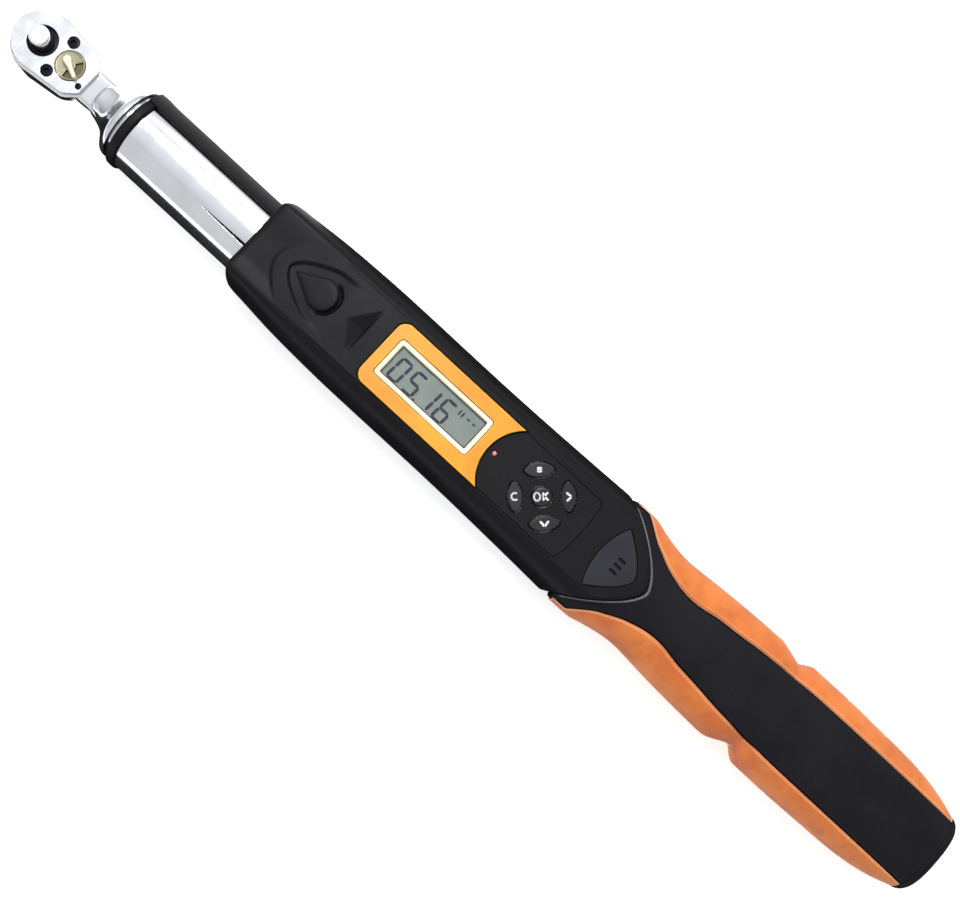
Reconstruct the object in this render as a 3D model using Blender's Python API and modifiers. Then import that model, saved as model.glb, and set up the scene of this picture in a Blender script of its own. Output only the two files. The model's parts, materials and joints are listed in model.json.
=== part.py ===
"""Digital torque wrench with a 1/4-inch ratchet drive, as the assembly of its separate parts.

The scene is in metres and +Z is up. Every size below is in millimetres and MM turns it into metres.
X runs from the drive square to the butt of the handle, and the display faces +Z. The origin is the
centre of the drive square's tip face: that face and the housing's flat underside both lie at z = 0.
Run it with: blender --background --python part.py
"""

import math

import bmesh
import bpy
from mathutils import Matrix, Vector

MM = 0.001
GAP = 0.3  # clearance between pieces that touch
RUNNING = 0.1  # radial clearance of a turning fit

# Tool line
AXIS_Z = 15.0
DRIVE_SQUARE = 6.35

# Ratchet head
HEAD_LOW, HEAD_TOP = 9.0, 21.0
NOSE_RADIUS = 10.8
HEAD_SHOULDER = (16.0, 9.1)
HEAD_END = (20.4, 5.3)
HEAD_EDGE = 1.2
NECK_END = 27.0
COVER_THICKNESS, COVER_INSET = 1.6, 0.9
GEAR_TEETH = 36
GEAR_ROOT, GEAR_TIP = 6.4, 7.0
GEAR_LOW, GEAR_TOP = 11.0, 18.6
DRIVE_HOLE_RADIUS = 5.1
LEVER_X = 11.7
LEVER_DISC_RADIUS = 4.75
LEVER_SHAFT_RADIUS = 2.2
LEVER_REST_DEG = -26.0
PAWL_ENGAGE_DEG = 15.0
PAWL_ROCK_DEG = 8.0
PAWL_LOW, PAWL_TOP = 12.0, 17.6
COVER_SCREW_X, COVER_SCREW_Y = 7.4, 6.1
DETENT_X, DETENT_Y = 18.0, -3.1
BUTTON_RADIUS = 3.3
BUTTON_TOP = 26.4
BALL_Z = 4.0
BALL_RADIUS = 1.0
BALL_OFFSET = 2.7

# Neck flare, collar and tube
NECK_HALF, NECK_TOP = 5.9, 19.2
# Radius and place along the axis, from the wide end to the neck.
FLARE = ((13.2, 37.0), (13.2, 35.6), (12.6, 34.6), (10.2, 33.0), (8.5, 31.2), (7.5, 29.0), (6.8, 27.0),
         (6.3, 24.5))
DIMPLE_PLACE, DIMPLE_RADII = (29.3, -0.4, 23.2), (2.4, 4.9, 2.6)
SPIGOT_RADIUS, SPIGOT_END = 11.3, 62.0
COLLAR_START, COLLAR_END, COLLAR_RADIUS = 37.9, 41.7, 14.0
TUBE_RADIUS, TUBE_WALL, TUBE_END = 13.1, 1.5, 104.0
RAIL_FROM_DEG, RAIL_TO_DEG = 24.0, 54.0
RAIL_RADIUS, RAIL_ROOT_END = 14.45, 44.6

# Sensing beam
BEAM_WIDTH, BEAM_HEIGHT = 9.0, 12.0
BEAM_START, BEAM_END = 64.0, 285.0
TENON_RADIUS, TENON_START = 4.9, 50.4
GAUGE_START, GAUGE_END, GAUGE_DEPTH = 72.0, 88.0, 1.0
HEAD_PIN_X, PIVOT_PIN_X, HANDLE_PIN_X = 57.0, 119.3, 278.0

# Housing
HOUSING_START = 91.6
FACE_Z = 29.8
FACE_HALF = 12.2
WAIST_Z = 14.0
PARTING_Z = 15.0
WALL = 2.0
CAVITY_START = 106.0
HOUSING_HALF_WIDTHS = ((91.6, 14.2), (92.7, 15.9), (94.4, 16.8), (100.5, 17.4), (113.0, 18.5), (126.0, 19.1),
                       (140.0, 19.4), (183.0, 19.4), (212.0, 20.0), (241.0, 20.9), (256.0, 21.2))
TAIL_TIP, TAIL_LENGTH, TAIL_HALF, TAIL_POWER = 255.0, 15.0, 20.9, 1.35
HOUSING_SCREWS = ((112.0, 12.5), (236.0, 14.0))
SCREW_SHANK, SCREW_HEAD, BOSS_RADIUS = 1.2, 2.4, 3.2
SCOOP_NOSE, SCOOP_END, SCOOP_HALF, SCOOP_DEPTH = 106.6, 137.6, 9.6, 0.8

# Display and keypad
BEZEL_START, BEZEL_HALF = 143.7, 11.7
BEZEL_CORNER = 3.6
BEZEL_ARC_X, BEZEL_ARC_RADIUS = 204.9, 15.7
WINDOW_X = (148.8, 184.1)
WINDOW_HALF = 5.45
FRAME_BORDER = 1.5
KEYPAD_END, KEYPAD_HALF, KEYPAD_BOW = 227.9, 11.4, 60.0
KEYPAD_X = 211.6
OK_KEY_RADIUS = 3.2
SIDE_KEY_OFFSET = (6.15, 5.6)
SIDE_KEY_LENGTH, SIDE_KEY_WIDTH = 10.4, 4.8
LED_X = 191.9
BOARD_LOW, BOARD_TOP = 23.6, 25.2
BUZZER_RADIUS = 5.5
SPEAKER_START, SPEAKER_CORNER, SPEAKER_HALF, SPEAKER_TIP = 235.9, 238.7, 11.3, 250.1
SLIT_X, SLIT_PITCH = 243.3, 2.2
PLUG_TIP, PLUG_CENTRE, PLUG_RADIUS = 109.0, 119.9, 5.3

# Handle
HANDLE_START, HANDLE_END, BUTT_END = 241.0, 375.4, 378.9
CAP_HALF_WIDTH, CAP_HALF_HEIGHT, CAP_STEPS = 14.6, 13.0, 32
SQUARENESS = 2.6  # exponent of the handle's superellipse section
HANDLE_HALF_WIDTHS = ((241.0, 21.0), (244.5, 20.8), (248.7, 19.7), (253.0, 18.75), (257.6, 18.0),
                      (262.0, 17.85), (266.0, 18.1), (277.0, 18.9), (294.0, 19.6), (325.0, 20.0), (338.0, 19.7),
                      (353.0, 19.2), (361.0, 18.5), (369.0, 16.9), (375.4, 14.9))
HANDLE_HEIGHTS = ((241.0, 14.0), (260.0, 12.8), (285.0, 13.6), (320.0, 14.2), (350.0, 14.2), (375.4, 13.0))
STRIP_HALF_WIDTHS = ((241.0, 19.6), (244.2, 16.9), (248.0, 14.1), (251.6, 12.3), (255.4, 10.5), (259.1, 9.3),
                     (262.8, 8.35), (267.0, 7.9), (271.0, 8.05), (277.7, 9.2), (285.0, 9.85), (296.0, 11.0),
                     (313.0, 11.9), (325.0, 12.15), (375.4, 12.15))
GRIP_DEPTHS = ((241.0, 0.5), (244.0, 0.8), (262.0, 2.8), (285.0, 3.6), (345.0, 3.6), (375.4, 2.3))
GRIP_START, GRIP_LAP = 244.0, 0.45
# The place along each grip, how far it reaches before and after that place, and its depth.
FINGER_NOTCHES = {1: (308.3, 9.0, 4.5, 2.6), -1: (309.0, 9.5, 5.5, 3.6)}
TICKS = (328.0, 343.7, 359.0)
TICK_REACH, TICK_DEPTH = 1.6, 0.6
CELL_LENGTH, CELL_RADIUS, CELL_OFFSET = 44.5, 5.15, 5.4
CELL_START = 328.2
BAY_START, BAY_HALF, BAY_CORNER = 326.0, 10.8, 5.0
LEAD_Y, LEAD_Z, LEAD_RADIUS = -3.6, 22.2, 0.6

PARTS = None
CUTTERS = None
MATERIALS = {}


# ---------------------------------------------------------------- helpers

def clear_scene():
    for obj in list(bpy.data.objects):
        bpy.data.objects.remove(obj, do_unlink=True)


def new_collection(name):
    collection = bpy.data.collections.new(name)
    bpy.context.scene.collection.children.link(collection)
    return collection


def material(name, colour, roughness, metallic=0.0):
    """A Principled BSDF of one colour, kept in MATERIALS under its name."""
    made = bpy.data.materials.new(name)
    made.use_nodes = True
    shader = made.node_tree.nodes["Principled BSDF"]
    shader.inputs["Base Color"].default_value = (*colour, 1.0)
    shader.inputs["Roughness"].default_value = roughness
    shader.inputs["Metallic"].default_value = metallic
    made.diffuse_color = (*colour, 1.0)
    MATERIALS[name] = made


def along(table, x):
    """The value at x of a curve through the table's points, level at each end and smooth between."""
    if x <= table[0][0]:
        return table[0][1]
    if x >= table[-1][0]:
        return table[-1][1]
    index = max(i for i, point in enumerate(table[:-1]) if point[0] <= x)
    (x0, y0), (x1, y1) = table[index], table[index + 1]
    before = table[max(index - 1, 0)]
    after = table[min(index + 2, len(table) - 1)]
    slope0 = (y1 - before[1]) / (x1 - before[0])
    slope1 = (after[1] - y0) / (after[0] - x0)
    u = (x - x0) / (x1 - x0)
    span = x1 - x0
    return ((2 * u**3 - 3 * u**2 + 1) * y0 + (u**3 - 2 * u**2 + u) * span * slope0
            + (3 * u**2 - 2 * u**3) * y1 + (u**3 - u**2) * span * slope1)


def arc(centre, radius, start_deg, end_deg, steps):
    """Points along an arc, both ends included."""
    angles = [math.radians(start_deg + (end_deg - start_deg) * i / steps) for i in range(steps + 1)]
    return [(centre[0] + radius * math.cos(a), centre[1] + radius * math.sin(a)) for a in angles]


def rounded_box(x0, x1, y0, y1, radius, steps=4):
    """The outline of a rectangle with round corners."""
    left, right, back, front = x0 + radius, x1 - radius, y0 + radius, y1 - radius
    corners = ((right, front), (left, front), (left, back), (right, back))
    points = []
    for quarter, centre in enumerate(corners):
        points += arc(centre, radius, 90 * quarter, 90 * quarter + 90, steps)
    return points


def turn(point, centre, degrees):
    """The point turned about the centre."""
    a = math.radians(degrees)
    dx, dy = point[0] - centre[0], point[1] - centre[1]
    return (centre[0] + dx * math.cos(a) - dy * math.sin(a), centre[1] + dx * math.sin(a) + dy * math.cos(a))


def mirrored(points):
    """The upper half of an outline followed by its mirror image in y."""
    return points + [(x, -y) for x, y in reversed(points) if abs(y) > 1e-6]


def object_from(bm, name):
    bmesh.ops.recalc_face_normals(bm, faces=bm.faces)
    mesh = bpy.data.meshes.new(name)
    bm.to_mesh(mesh)
    bm.free()
    obj = bpy.data.objects.new(name, mesh)
    PARTS.objects.link(obj)
    return obj


def box(name, low, high):
    bm = bmesh.new()
    size = Vector(high) - Vector(low)
    centre = (Vector(high) + Vector(low)) / 2
    bmesh.ops.create_cube(bm, size=1.0)
    place = Matrix.Translation(centre * MM) @ Matrix.Diagonal((*(size * MM), 1.0))
    bmesh.ops.transform(bm, verts=bm.verts, matrix=place)
    return object_from(bm, name)


def cylinder(name, radius, start, end, axis="Z", centre=(0.0, 0.0), segments=24, end_radius=None):
    """A cylinder or cone between two places on an axis. centre is (x, y) for Z and (y, z) for X."""
    bm = bmesh.new()
    top = radius if end_radius is None else end_radius
    bmesh.ops.create_cone(bm, cap_ends=True, segments=segments, radius1=radius * MM, radius2=top * MM,
                          depth=abs(end - start) * MM)
    middle = (start + end) / 2
    if axis == "X":
        place = Matrix.Translation(Vector((middle, *centre)) * MM) @ Matrix.Rotation(math.radians(90), 4, "Y")
    else:
        place = Matrix.Translation(Vector((*centre, middle)) * MM)
    bmesh.ops.transform(bm, verts=bm.verts, matrix=place)
    return object_from(bm, name)


def ball(name, centre, radii, segments=24, rings=12):
    bm = bmesh.new()
    bmesh.ops.create_uvsphere(bm, u_segments=segments, v_segments=rings, radius=1.0)
    scale = Matrix.Diagonal((*(Vector(radii) * MM), 1.0))
    bmesh.ops.transform(bm, verts=bm.verts, matrix=Matrix.Translation(Vector(centre) * MM) @ scale)
    return object_from(bm, name)


def as_mesh(obj):
    """The curve object as a mesh object of the same name, with its caps welded."""
    bpy.context.view_layer.update()
    graph = bpy.context.evaluated_depsgraph_get()
    mesh = bpy.data.meshes.new_from_object(obj.evaluated_get(graph))
    bm = bmesh.new()
    bm.from_mesh(mesh)
    bmesh.ops.remove_doubles(bm, verts=bm.verts, dist=1e-6)
    bmesh.ops.recalc_face_normals(bm, faces=bm.faces)
    bm.to_mesh(mesh)
    bm.free()
    name = obj.name
    made = bpy.data.objects.new(name + "_mesh", mesh)
    made.matrix_world = obj.matrix_world
    PARTS.objects.link(made)
    bpy.data.objects.remove(obj, do_unlink=True)
    made.name = name
    return made


def curve_object(name, points, closed):
    curve = bpy.data.curves.new(name, "CURVE")
    spline = curve.splines.new("POLY")
    spline.points.add(len(points) - 1)
    for target, point in zip(spline.points, points):
        target.co = (*(Vector(point) * MM), 1.0)
    spline.use_cyclic_u = closed
    obj = bpy.data.objects.new(name, curve)
    PARTS.objects.link(obj)
    return obj


def plate(name, outline, low, high):
    """A flat outline in x and y, thickened from z = low to z = high."""
    obj = curve_object(name, [(x, y, 0.0) for x, y in outline], closed=True)
    obj.data.dimensions = "2D"
    obj.data.fill_mode = "BOTH"
    obj.data.extrude = (high - low) / 2 * MM
    obj.location.z = (low + high) / 2 * MM
    return as_mesh(obj)


def wire(name, points, radius):
    """A round wire through the points."""
    obj = curve_object(name, points, closed=False)
    obj.data.dimensions = "3D"
    obj.data.bevel_depth = radius * MM
    obj.data.bevel_resolution = 2
    obj.data.use_fill_caps = True
    return as_mesh(obj)


def turned(name, profile, axis="Z", centre=(0.0, 0.0), segments=40):
    """A profile of (radius, place), from the far end down its outer side, turned about the axis."""
    bm = bmesh.new()
    verts = [bm.verts.new((r * MM, 0.0, z * MM)) for r, z in profile]
    for a, b in zip(verts, verts[1:]):
        bm.edges.new((a, b))
    if profile[0][0] > 0:
        bm.edges.new((verts[-1], verts[0]))
    mesh = bpy.data.meshes.new(name)
    bm.to_mesh(mesh)
    bm.free()
    obj = bpy.data.objects.new(name, mesh)
    PARTS.objects.link(obj)
    screw = obj.modifiers.new("turn", "SCREW")
    screw.steps = segments
    screw.render_steps = segments
    screw.use_merge_vertices = True
    screw.merge_threshold = 1e-6
    if axis == "X":
        obj.rotation_euler = (0.0, math.radians(90), 0.0)
        obj.location = Vector((0.0, *centre)) * MM
    else:
        obj.location = Vector((*centre, 0.0)) * MM
    return obj


def loft(name, rings):
    """A closed body through rings of points that all have the same count, with flat ends."""
    bm = bmesh.new()
    rows = [[bm.verts.new(Vector(point) * MM) for point in ring] for ring in rings]
    count = len(rows[0])
    for first, second in zip(rows, rows[1:]):
        for i in range(count):
            j = (i + 1) % count
            bm.faces.new((first[i], first[j], second[j], second[i]))
    bm.faces.new(rows[0])
    bm.faces.new(rows[-1])
    return object_from(bm, name)


def boolean(target, other, operation):
    """A Boolean modifier on the target. The other object moves to the cutters."""
    modifier = target.modifiers.new(operation.lower(), "BOOLEAN")
    modifier.operation = operation
    modifier.object = other
    if other.name in PARTS.objects:
        PARTS.objects.unlink(other)
        CUTTERS.objects.link(other)
    other.hide_render = True
    other.display_type = "WIRE"
    return target


def cut(target, *others):
    for other in others:
        boolean(target, other, "DIFFERENCE")
    return target


def join(target, *others):
    for other in others:
        boolean(target, other, "UNION")
    return target


def bevel(obj, width, segments=2, angle_deg=40.0):
    modifier = obj.modifiers.new("bevel", "BEVEL")
    modifier.width = width * MM
    modifier.segments = segments
    modifier.limit_method = "ANGLE"
    modifier.angle_limit = math.radians(angle_deg)
    return obj


def finish(obj, material_name, origin=None, parent=None, smooth_deg=35.0):
    """Gives the piece its material and shading, and its origin when it moves about one."""
    if origin is not None:
        shift = Vector(origin) * MM - obj.location
        obj.data.transform(Matrix.Translation(obj.matrix_basis.to_3x3().inverted() @ -shift))
        obj.location = Vector(origin) * MM
    obj.data.materials.clear()
    obj.data.materials.append(MATERIALS[material_name])
    obj.data.shade_smooth()
    obj.data.set_sharp_from_angle(angle=math.radians(smooth_deg))
    if parent is not None:
        obj.parent = parent
        obj.matrix_parent_inverse = parent.matrix_basis.inverted()
    return obj


def pivot(name, place):
    """An empty on a joint's axis."""
    obj = bpy.data.objects.new(name, None)
    obj.location = Vector(place) * MM
    obj.empty_display_size = 5 * MM
    PARTS.objects.link(obj)
    return obj


# ---------------------------------------------------------------- ratchet head

def head_outline(inset=0.0):
    """Round nose, slightly tapering sides and a chamfered end."""
    nose = arc((0.0, 0.0), NOSE_RADIUS - inset, 180, 78, 9)
    shoulder = (HEAD_SHOULDER[0] - inset * 0.4, HEAD_SHOULDER[1] - inset)
    end = (HEAD_END[0] - inset, HEAD_END[1] - inset * 0.4)
    return mirrored(nose + [shoulder, end])


def make_forging():
    forging = plate("head_forging", head_outline(), HEAD_LOW, HEAD_TOP - COVER_THICKNESS - GAP)
    bevel(forging, HEAD_EDGE, 1)
    neck = box("neck_block", (HEAD_END[0] - 4.0, -NECK_HALF, HEAD_LOW + 0.5),
               (NECK_END + 6.0, NECK_HALF, NECK_TOP))
    bevel(neck, 1.4, 1)
    spigot = [(0.0, SPIGOT_END), (SPIGOT_RADIUS, SPIGOT_END), (SPIGOT_RADIUS, FLARE[0][1])]
    profile = spigot + [*FLARE, (0.0, FLARE[-1][1])]
    flare = turned("neck_flare", profile, axis="X", centre=(0.0, AXIS_Z), segments=32)
    dimple = ball("neck_dimple", DIMPLE_PLACE, DIMPLE_RADII, 16, 8)
    join(forging, neck, flare)
    cut(forging, dimple,
        cylinder("gear_cavity", GEAR_TIP + 0.4, GEAR_LOW - 0.3, HEAD_TOP, segments=36),
        cylinder("drive_bearing", DRIVE_HOLE_RADIUS, HEAD_LOW - 1.0, GEAR_LOW, segments=36),
        cylinder("pawl_cavity", 4.4, PAWL_LOW - 0.4, HEAD_TOP, centre=(LEVER_X, 0.0)),
        box("pawl_window", (6.0, -3.9, PAWL_LOW - 0.4), (LEVER_X, 3.9, HEAD_TOP)),
        cylinder("beam_socket", 5.2, 50.0, SPIGOT_END + 1.0, axis="X", centre=(0.0, AXIS_Z)),
        cylinder("head_pin_hole", 1.7, AXIS_Z - 14.0, AXIS_Z + 14.0, centre=(HEAD_PIN_X, 0.0), segments=12))
    for side in (1, -1):
        place = (COVER_SCREW_X, side * COVER_SCREW_Y)
        cut(forging, cylinder("cover_thread", 1.05, 13.0, HEAD_TOP, centre=place, segments=10))
    finish(forging, "chrome")


def make_cover():
    low = HEAD_TOP - COVER_THICKNESS
    cover = plate("head_cover_plate", head_outline(COVER_INSET), low, HEAD_TOP)
    bevel(cover, 0.35, 1)
    under, over = low - 1.0, HEAD_TOP + 1.0
    lever_hole = cylinder("cover_lever_hole", LEVER_DISC_RADIUS + 0.2, under, over, centre=(LEVER_X, 0.0),
                          segments=32)
    cut(cover, lever_hole, cylinder("cover_drive_hole", DRIVE_HOLE_RADIUS, under, over, segments=36),
        cylinder("cover_detent", 1.05, HEAD_TOP - 0.9, over, centre=(DETENT_X, DETENT_Y), segments=12))
    for side, word in ((1, "left"), (-1, "right")):
        place = (COVER_SCREW_X, side * COVER_SCREW_Y)
        cut(cover, cylinder("cover_screw_hole", 1.3, under, over, centre=place, segments=12),
            cylinder("cover_screw_sink", 2.05, HEAD_TOP - 1.0, over, centre=place, segments=16))
        screw_profile = [(0.0, 20.75), (1.85, 20.75), (1.85, 20.25), (0.85, 20.25), (0.85, 13.4), (0.0, 13.4)]
        screw = turned("cover_screw_" + word, screw_profile, centre=place, segments=12)
        cut(screw, cylinder("cover_screw_key", 0.8, 20.5, 22.0, centre=place, segments=6))
        finish(screw, "black_steel")
    finish(cover, "satin_chrome")


def gear_outline():
    points = []
    for tooth in range(GEAR_TEETH):
        middle = 360.0 * tooth / GEAR_TEETH
        points.append(turn((GEAR_TIP, 0.0), (0.0, 0.0), middle))
        points.append(turn((GEAR_ROOT, 0.0), (0.0, 0.0), middle + 180.0 / GEAR_TEETH))
    return points


def make_drive(parent):
    half = DRIVE_SQUARE / 2
    gear = plate("ratchet_gear", gear_outline(), GEAR_LOW, GEAR_TOP)
    square = box("drive_square", (-half, -half, 0.0), (half, half, GEAR_LOW + 1.0))
    bevel(square, 0.5, 1)
    join(gear, square,
         cylinder("drive_boss", DRIVE_HOLE_RADIUS - RUNNING, HEAD_LOW - 0.4, GEAR_LOW + 1.0, segments=36),
         cylinder("gear_crown", 4.7, GEAR_TOP - 1.0, 19.9, segments=32))
    port = cylinder("ball_port", BALL_RADIUS + 0.1, -half - 1.0, 0.0, axis="X", centre=(0.0, BALL_Z),
                    segments=12)
    cut(gear, port, cylinder("button_bore", BUTTON_RADIUS + 0.15, 12.6, 21.0, segments=24),
        cylinder("stem_bore", 1.75, 0.9, 13.0, segments=16))
    finish(gear, "black_steel", parent=parent)
    cap = [(0.0, BUTTON_TOP), (BUTTON_RADIUS - 0.7, BUTTON_TOP), (BUTTON_RADIUS - 0.2, BUTTON_TOP - 0.25),
           (BUTTON_RADIUS, BUTTON_TOP - 0.8), (BUTTON_RADIUS, 16.4)]
    stem = [(1.5, 16.4), (1.5, 7.4), (0.8, 7.4), (0.8, 5.9), (1.5, 4.4), (1.5, 3.2), (0.0, 3.2)]
    finish(turned("release_button", cap + stem, segments=20), "chrome", parent=parent)
    turns, per_turn, coil_radius, coil_low, coil_height = 3, 7, 2.55, 13.1, 2.9
    steps = turns * per_turn
    coil = []
    for i in range(steps + 1):
        x, y = turn((coil_radius, 0.0), (0.0, 0.0), 360.0 * i / per_turn)
        coil.append((x, y, coil_low + coil_height * i / steps))
    finish(wire("release_spring", coil, 0.25), "spring_steel", parent=parent)
    finish(ball("detent_ball", (-BALL_OFFSET, 0.0, BALL_Z), (BALL_RADIUS,) * 3, 12, 8), "chrome",
           origin=(-BALL_OFFSET, 0.0, BALL_Z), parent=parent)


def make_lever(parent):
    """The disc, its shaft and the thumb ridge that points along the lever."""
    centre = (LEVER_X, 0.0)
    disc = [(0.0, 21.5), (LEVER_DISC_RADIUS - 0.3, 21.5), (LEVER_DISC_RADIUS, 21.2), (LEVER_DISC_RADIUS, 19.7)]
    shaft = [(LEVER_SHAFT_RADIUS, 19.7), (LEVER_SHAFT_RADIUS, PAWL_LOW), (0.0, PAWL_LOW)]
    lever = turned("reversing_lever", disc + shaft, centre=centre, segments=32)
    ridge_outline = arc((-1.6, 0.0), 1.35, 100, 260, 6) + [(4.9, -0.62), (5.5, 0.0), (4.9, 0.62)]
    ridge_plan = [turn((LEVER_X + x, y), centre, LEVER_REST_DEG) for x, y in ridge_outline]
    ridge = plate("lever_ridge", ridge_plan, 21.25, 23.4)
    bevel(ridge, 0.45, 1)
    join(lever, ridge)
    away = turn((LEVER_X - 1.0, 0.0), centre, LEVER_REST_DEG)
    direction = Vector((away[0] - LEVER_X, away[1], 0.0))
    plunger_height = (PAWL_LOW + PAWL_TOP) / 2
    cut(lever, radial_pin("plunger_bore", direction, -0.8, 3.0, 0.75, plunger_height))
    finish(lever, "lever_brass", parent=parent)
    plunger = radial_pin("pawl_plunger", direction, -0.5, 3.1, 0.6, plunger_height)
    finish(plunger, "spring_steel", parent=parent)


def radial_pin(name, direction, start, end, radius, height):
    """A pin that lies across the lever's shaft, along the direction."""
    pin = cylinder(name, radius, start, end, axis="X", segments=12)
    turned_to = Matrix.Rotation(math.atan2(direction.y, direction.x), 4, "Z")
    pin.data.transform(Matrix.Translation(Vector((LEVER_X, 0.0, height)) * MM) @ turned_to)
    return pin


def make_pawl(parent):
    """A rocker with two toothed horns. At rest it is rocked clockwise, and its horn on -Y is in mesh."""
    centre = (LEVER_X, 0.0)
    reach = (GEAR_ROOT + GEAR_TIP) / 2 + 0.05
    tooth = ((reach + 0.6, -0.45), (reach, 0.0), (reach + 0.6, 0.45))
    engaged = [turn(point, (0.0, 0.0), PAWL_ENGAGE_DEG) for point in tooth]
    horn = [turn(point, centre, -PAWL_ROCK_DEG) for point in engaged]
    ring = arc(centre, 3.8, 118, 0, 6)
    upper = [(7.6, 0.0), horn[0], horn[1], horn[2]] + ring
    outline = [turn(point, centre, -PAWL_ROCK_DEG) for point in mirrored(upper)]
    pawl = plate("pawl", outline, PAWL_LOW, PAWL_TOP)
    notch = arc(centre, 3.45, 132, 228, 6) + arc(centre, 1.0, 228, 132, 2)
    middle = (PAWL_LOW + PAWL_TOP) / 2
    notch_plan = [turn(point, centre, -PAWL_ROCK_DEG) for point in notch]
    cut(pawl, cylinder("pawl_bore", LEVER_SHAFT_RADIUS + 0.3, PAWL_LOW - 1.0, PAWL_TOP + 1.0, centre=centre),
        plate("pawl_notch", notch_plan, middle - 0.9, PAWL_TOP + 1.0))
    finish(pawl, "black_steel", origin=(LEVER_X, 0.0, PAWL_LOW), parent=parent)


# ---------------------------------------------------------------- tube and sensing beam

def sector(name, from_deg, to_deg, inner, outer, start, end, steps=5):
    """A length of pipe wall between two angles about the tool's axis."""
    outside = arc((0.0, 0.0), outer, from_deg, to_deg, steps)
    section = outside + arc((0.0, 0.0), inner, to_deg, from_deg, steps)
    return loft(name, [[(x, y, AXIS_Z + z) for y, z in section] for x in (start, end)])


def make_collar():
    """The ring behind the head and the rail along the tube are one moulding."""
    inner = SPIGOT_RADIUS + GAP
    profile = [(COLLAR_RADIUS - 0.5, COLLAR_END), (COLLAR_RADIUS, COLLAR_END - 0.6),
               (COLLAR_RADIUS, COLLAR_START + 0.6), (COLLAR_RADIUS - 0.5, COLLAR_START), (inner, COLLAR_START),
               (inner, COLLAR_END)]
    ring = turned("tube_collar", profile, axis="X", centre=(0.0, AXIS_Z), segments=36)
    under = TUBE_RADIUS + GAP
    start = COLLAR_START + 1.0
    rail = sector("tube_rail", RAIL_FROM_DEG, RAIL_TO_DEG, under, RAIL_RADIUS, start, HOUSING_START - GAP)
    root = sector("rail_root", RAIL_FROM_DEG - 3.0, RAIL_TO_DEG + 3.0, under, RAIL_RADIUS + 0.15, start - 0.2,
                  RAIL_ROOT_END)
    join(ring, rail, root)
    finish(ring, "collar_black")


def make_tube():
    inner = TUBE_RADIUS - TUBE_WALL
    start = COLLAR_END + GAP
    wall = [(TUBE_RADIUS, TUBE_END), (TUBE_RADIUS, start), (inner, start), (inner, TUBE_END)]
    tube = turned("chrome_tube", wall, axis="X", centre=(0.0, AXIS_Z), segments=48)
    finish(tube, "chrome")


def make_beam():
    half, tall = BEAM_WIDTH / 2, BEAM_HEIGHT / 2
    beam = box("sensing_beam", (BEAM_START, -half, AXIS_Z - tall), (BEAM_END, half, AXIS_Z + tall))
    bevel(beam, 0.5, 1)
    axis = (0.0, AXIS_Z)
    tenon = cylinder("beam_tenon", TENON_RADIUS, TENON_START, BEAM_START + 1.0, axis="X", centre=axis)
    join(beam, tenon)
    pins = ((HEAD_PIN_X, 1.5, 10.6, "beam_pin"), (PIVOT_PIN_X, 2.5, 11.2, "pivot_pin"),
            (HANDLE_PIN_X, 2.0, 10.0, "handle_pin"))
    for x, radius, reach, name in pins:
        low, high = AXIS_Z - 9.0, AXIS_Z + 9.0
        cut(beam, cylinder(name + "_hole", radius + 0.2, low, high, centre=(x, 0.0), segments=16))
        pin = cylinder(name, radius, AXIS_Z - reach, AXIS_Z + reach, centre=(x, 0.0), segments=16)
        finish(pin, "spring_steel")
    for side in (1, -1):
        low = (GAUGE_START, side * half - GAUGE_DEPTH, AXIS_Z - tall - 1.0)
        high = (GAUGE_END, side * half + GAUGE_DEPTH, AXIS_Z + tall + 1.0)
        cut(beam, box("gauge_waist", low, high))
    finish(beam, "black_steel")
    for side, word in ((1, "left"), (-1, "right")):
        floor = half - GAUGE_DEPTH + GAP
        inner, outer = sorted((side * floor, side * (floor + 0.4)))
        low = (GAUGE_START + 4.0, inner, AXIS_Z - 3.0)
        high = (GAUGE_END - 4.0, outer, AXIS_Z + 3.0)
        finish(box("strain_gauge_" + word, low, high), "gauge_foil")


# ---------------------------------------------------------------- housing

def housing_ring(x, inset=0.0):
    """The housing's section: flat face, rounded shoulders, full sides and a flat underside."""
    half = along(HOUSING_HALF_WIDTHS, x) - inset
    nip = max(0.0, 1.0 - (x - HOUSING_START) / 2.5) * 0.9
    top, low = FACE_Z - nip - inset * 1.1, nip * 0.7 + inset
    face = min(FACE_HALF, half - 2.0) - inset * 0.4
    foot = half - 7.0
    upper = [(face + (half - face) * math.sin(a), WAIST_Z + (top - WAIST_Z) * math.cos(a))
             for a in (math.radians(90.0 * i / 5) for i in range(6))]
    lower = [(foot + (half - foot) * math.cos(a), WAIST_Z - (WAIST_Z - low) * math.sin(a))
             for a in (math.radians(90.0 * i / 4) for i in range(1, 5))]
    right = upper + lower
    return [(x, y, z) for y, z in right] + [(x, -y, z) for y, z in reversed(right)]


def tail_outline(shift, start):
    """The plan of the housing up to its pointed tail, moved by shift along x."""
    steps = 10
    half = TAIL_HALF + 3.0
    tail = []
    for i in range(steps + 1):
        y = half * i / steps
        tail.append((TAIL_TIP + shift - TAIL_LENGTH * (y / (TAIL_HALF - 0.9)) ** TAIL_POWER, y))
    return mirrored(tail + [(start, half)])


def bezel_outline(grow=0.0):
    """Round corners at the front and two points around a hollow arc at the back."""
    half = BEZEL_HALF + grow
    radius = BEZEL_ARC_RADIUS - grow
    reach = math.degrees(math.asin(half / radius))
    hollow = arc((BEZEL_ARC_X, 0.0), radius, 180, 180 - reach, 8)
    corner = arc((BEZEL_START - grow + BEZEL_CORNER, half - BEZEL_CORNER), BEZEL_CORNER, 90, 180, 5)
    return mirrored(hollow + corner)


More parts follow.
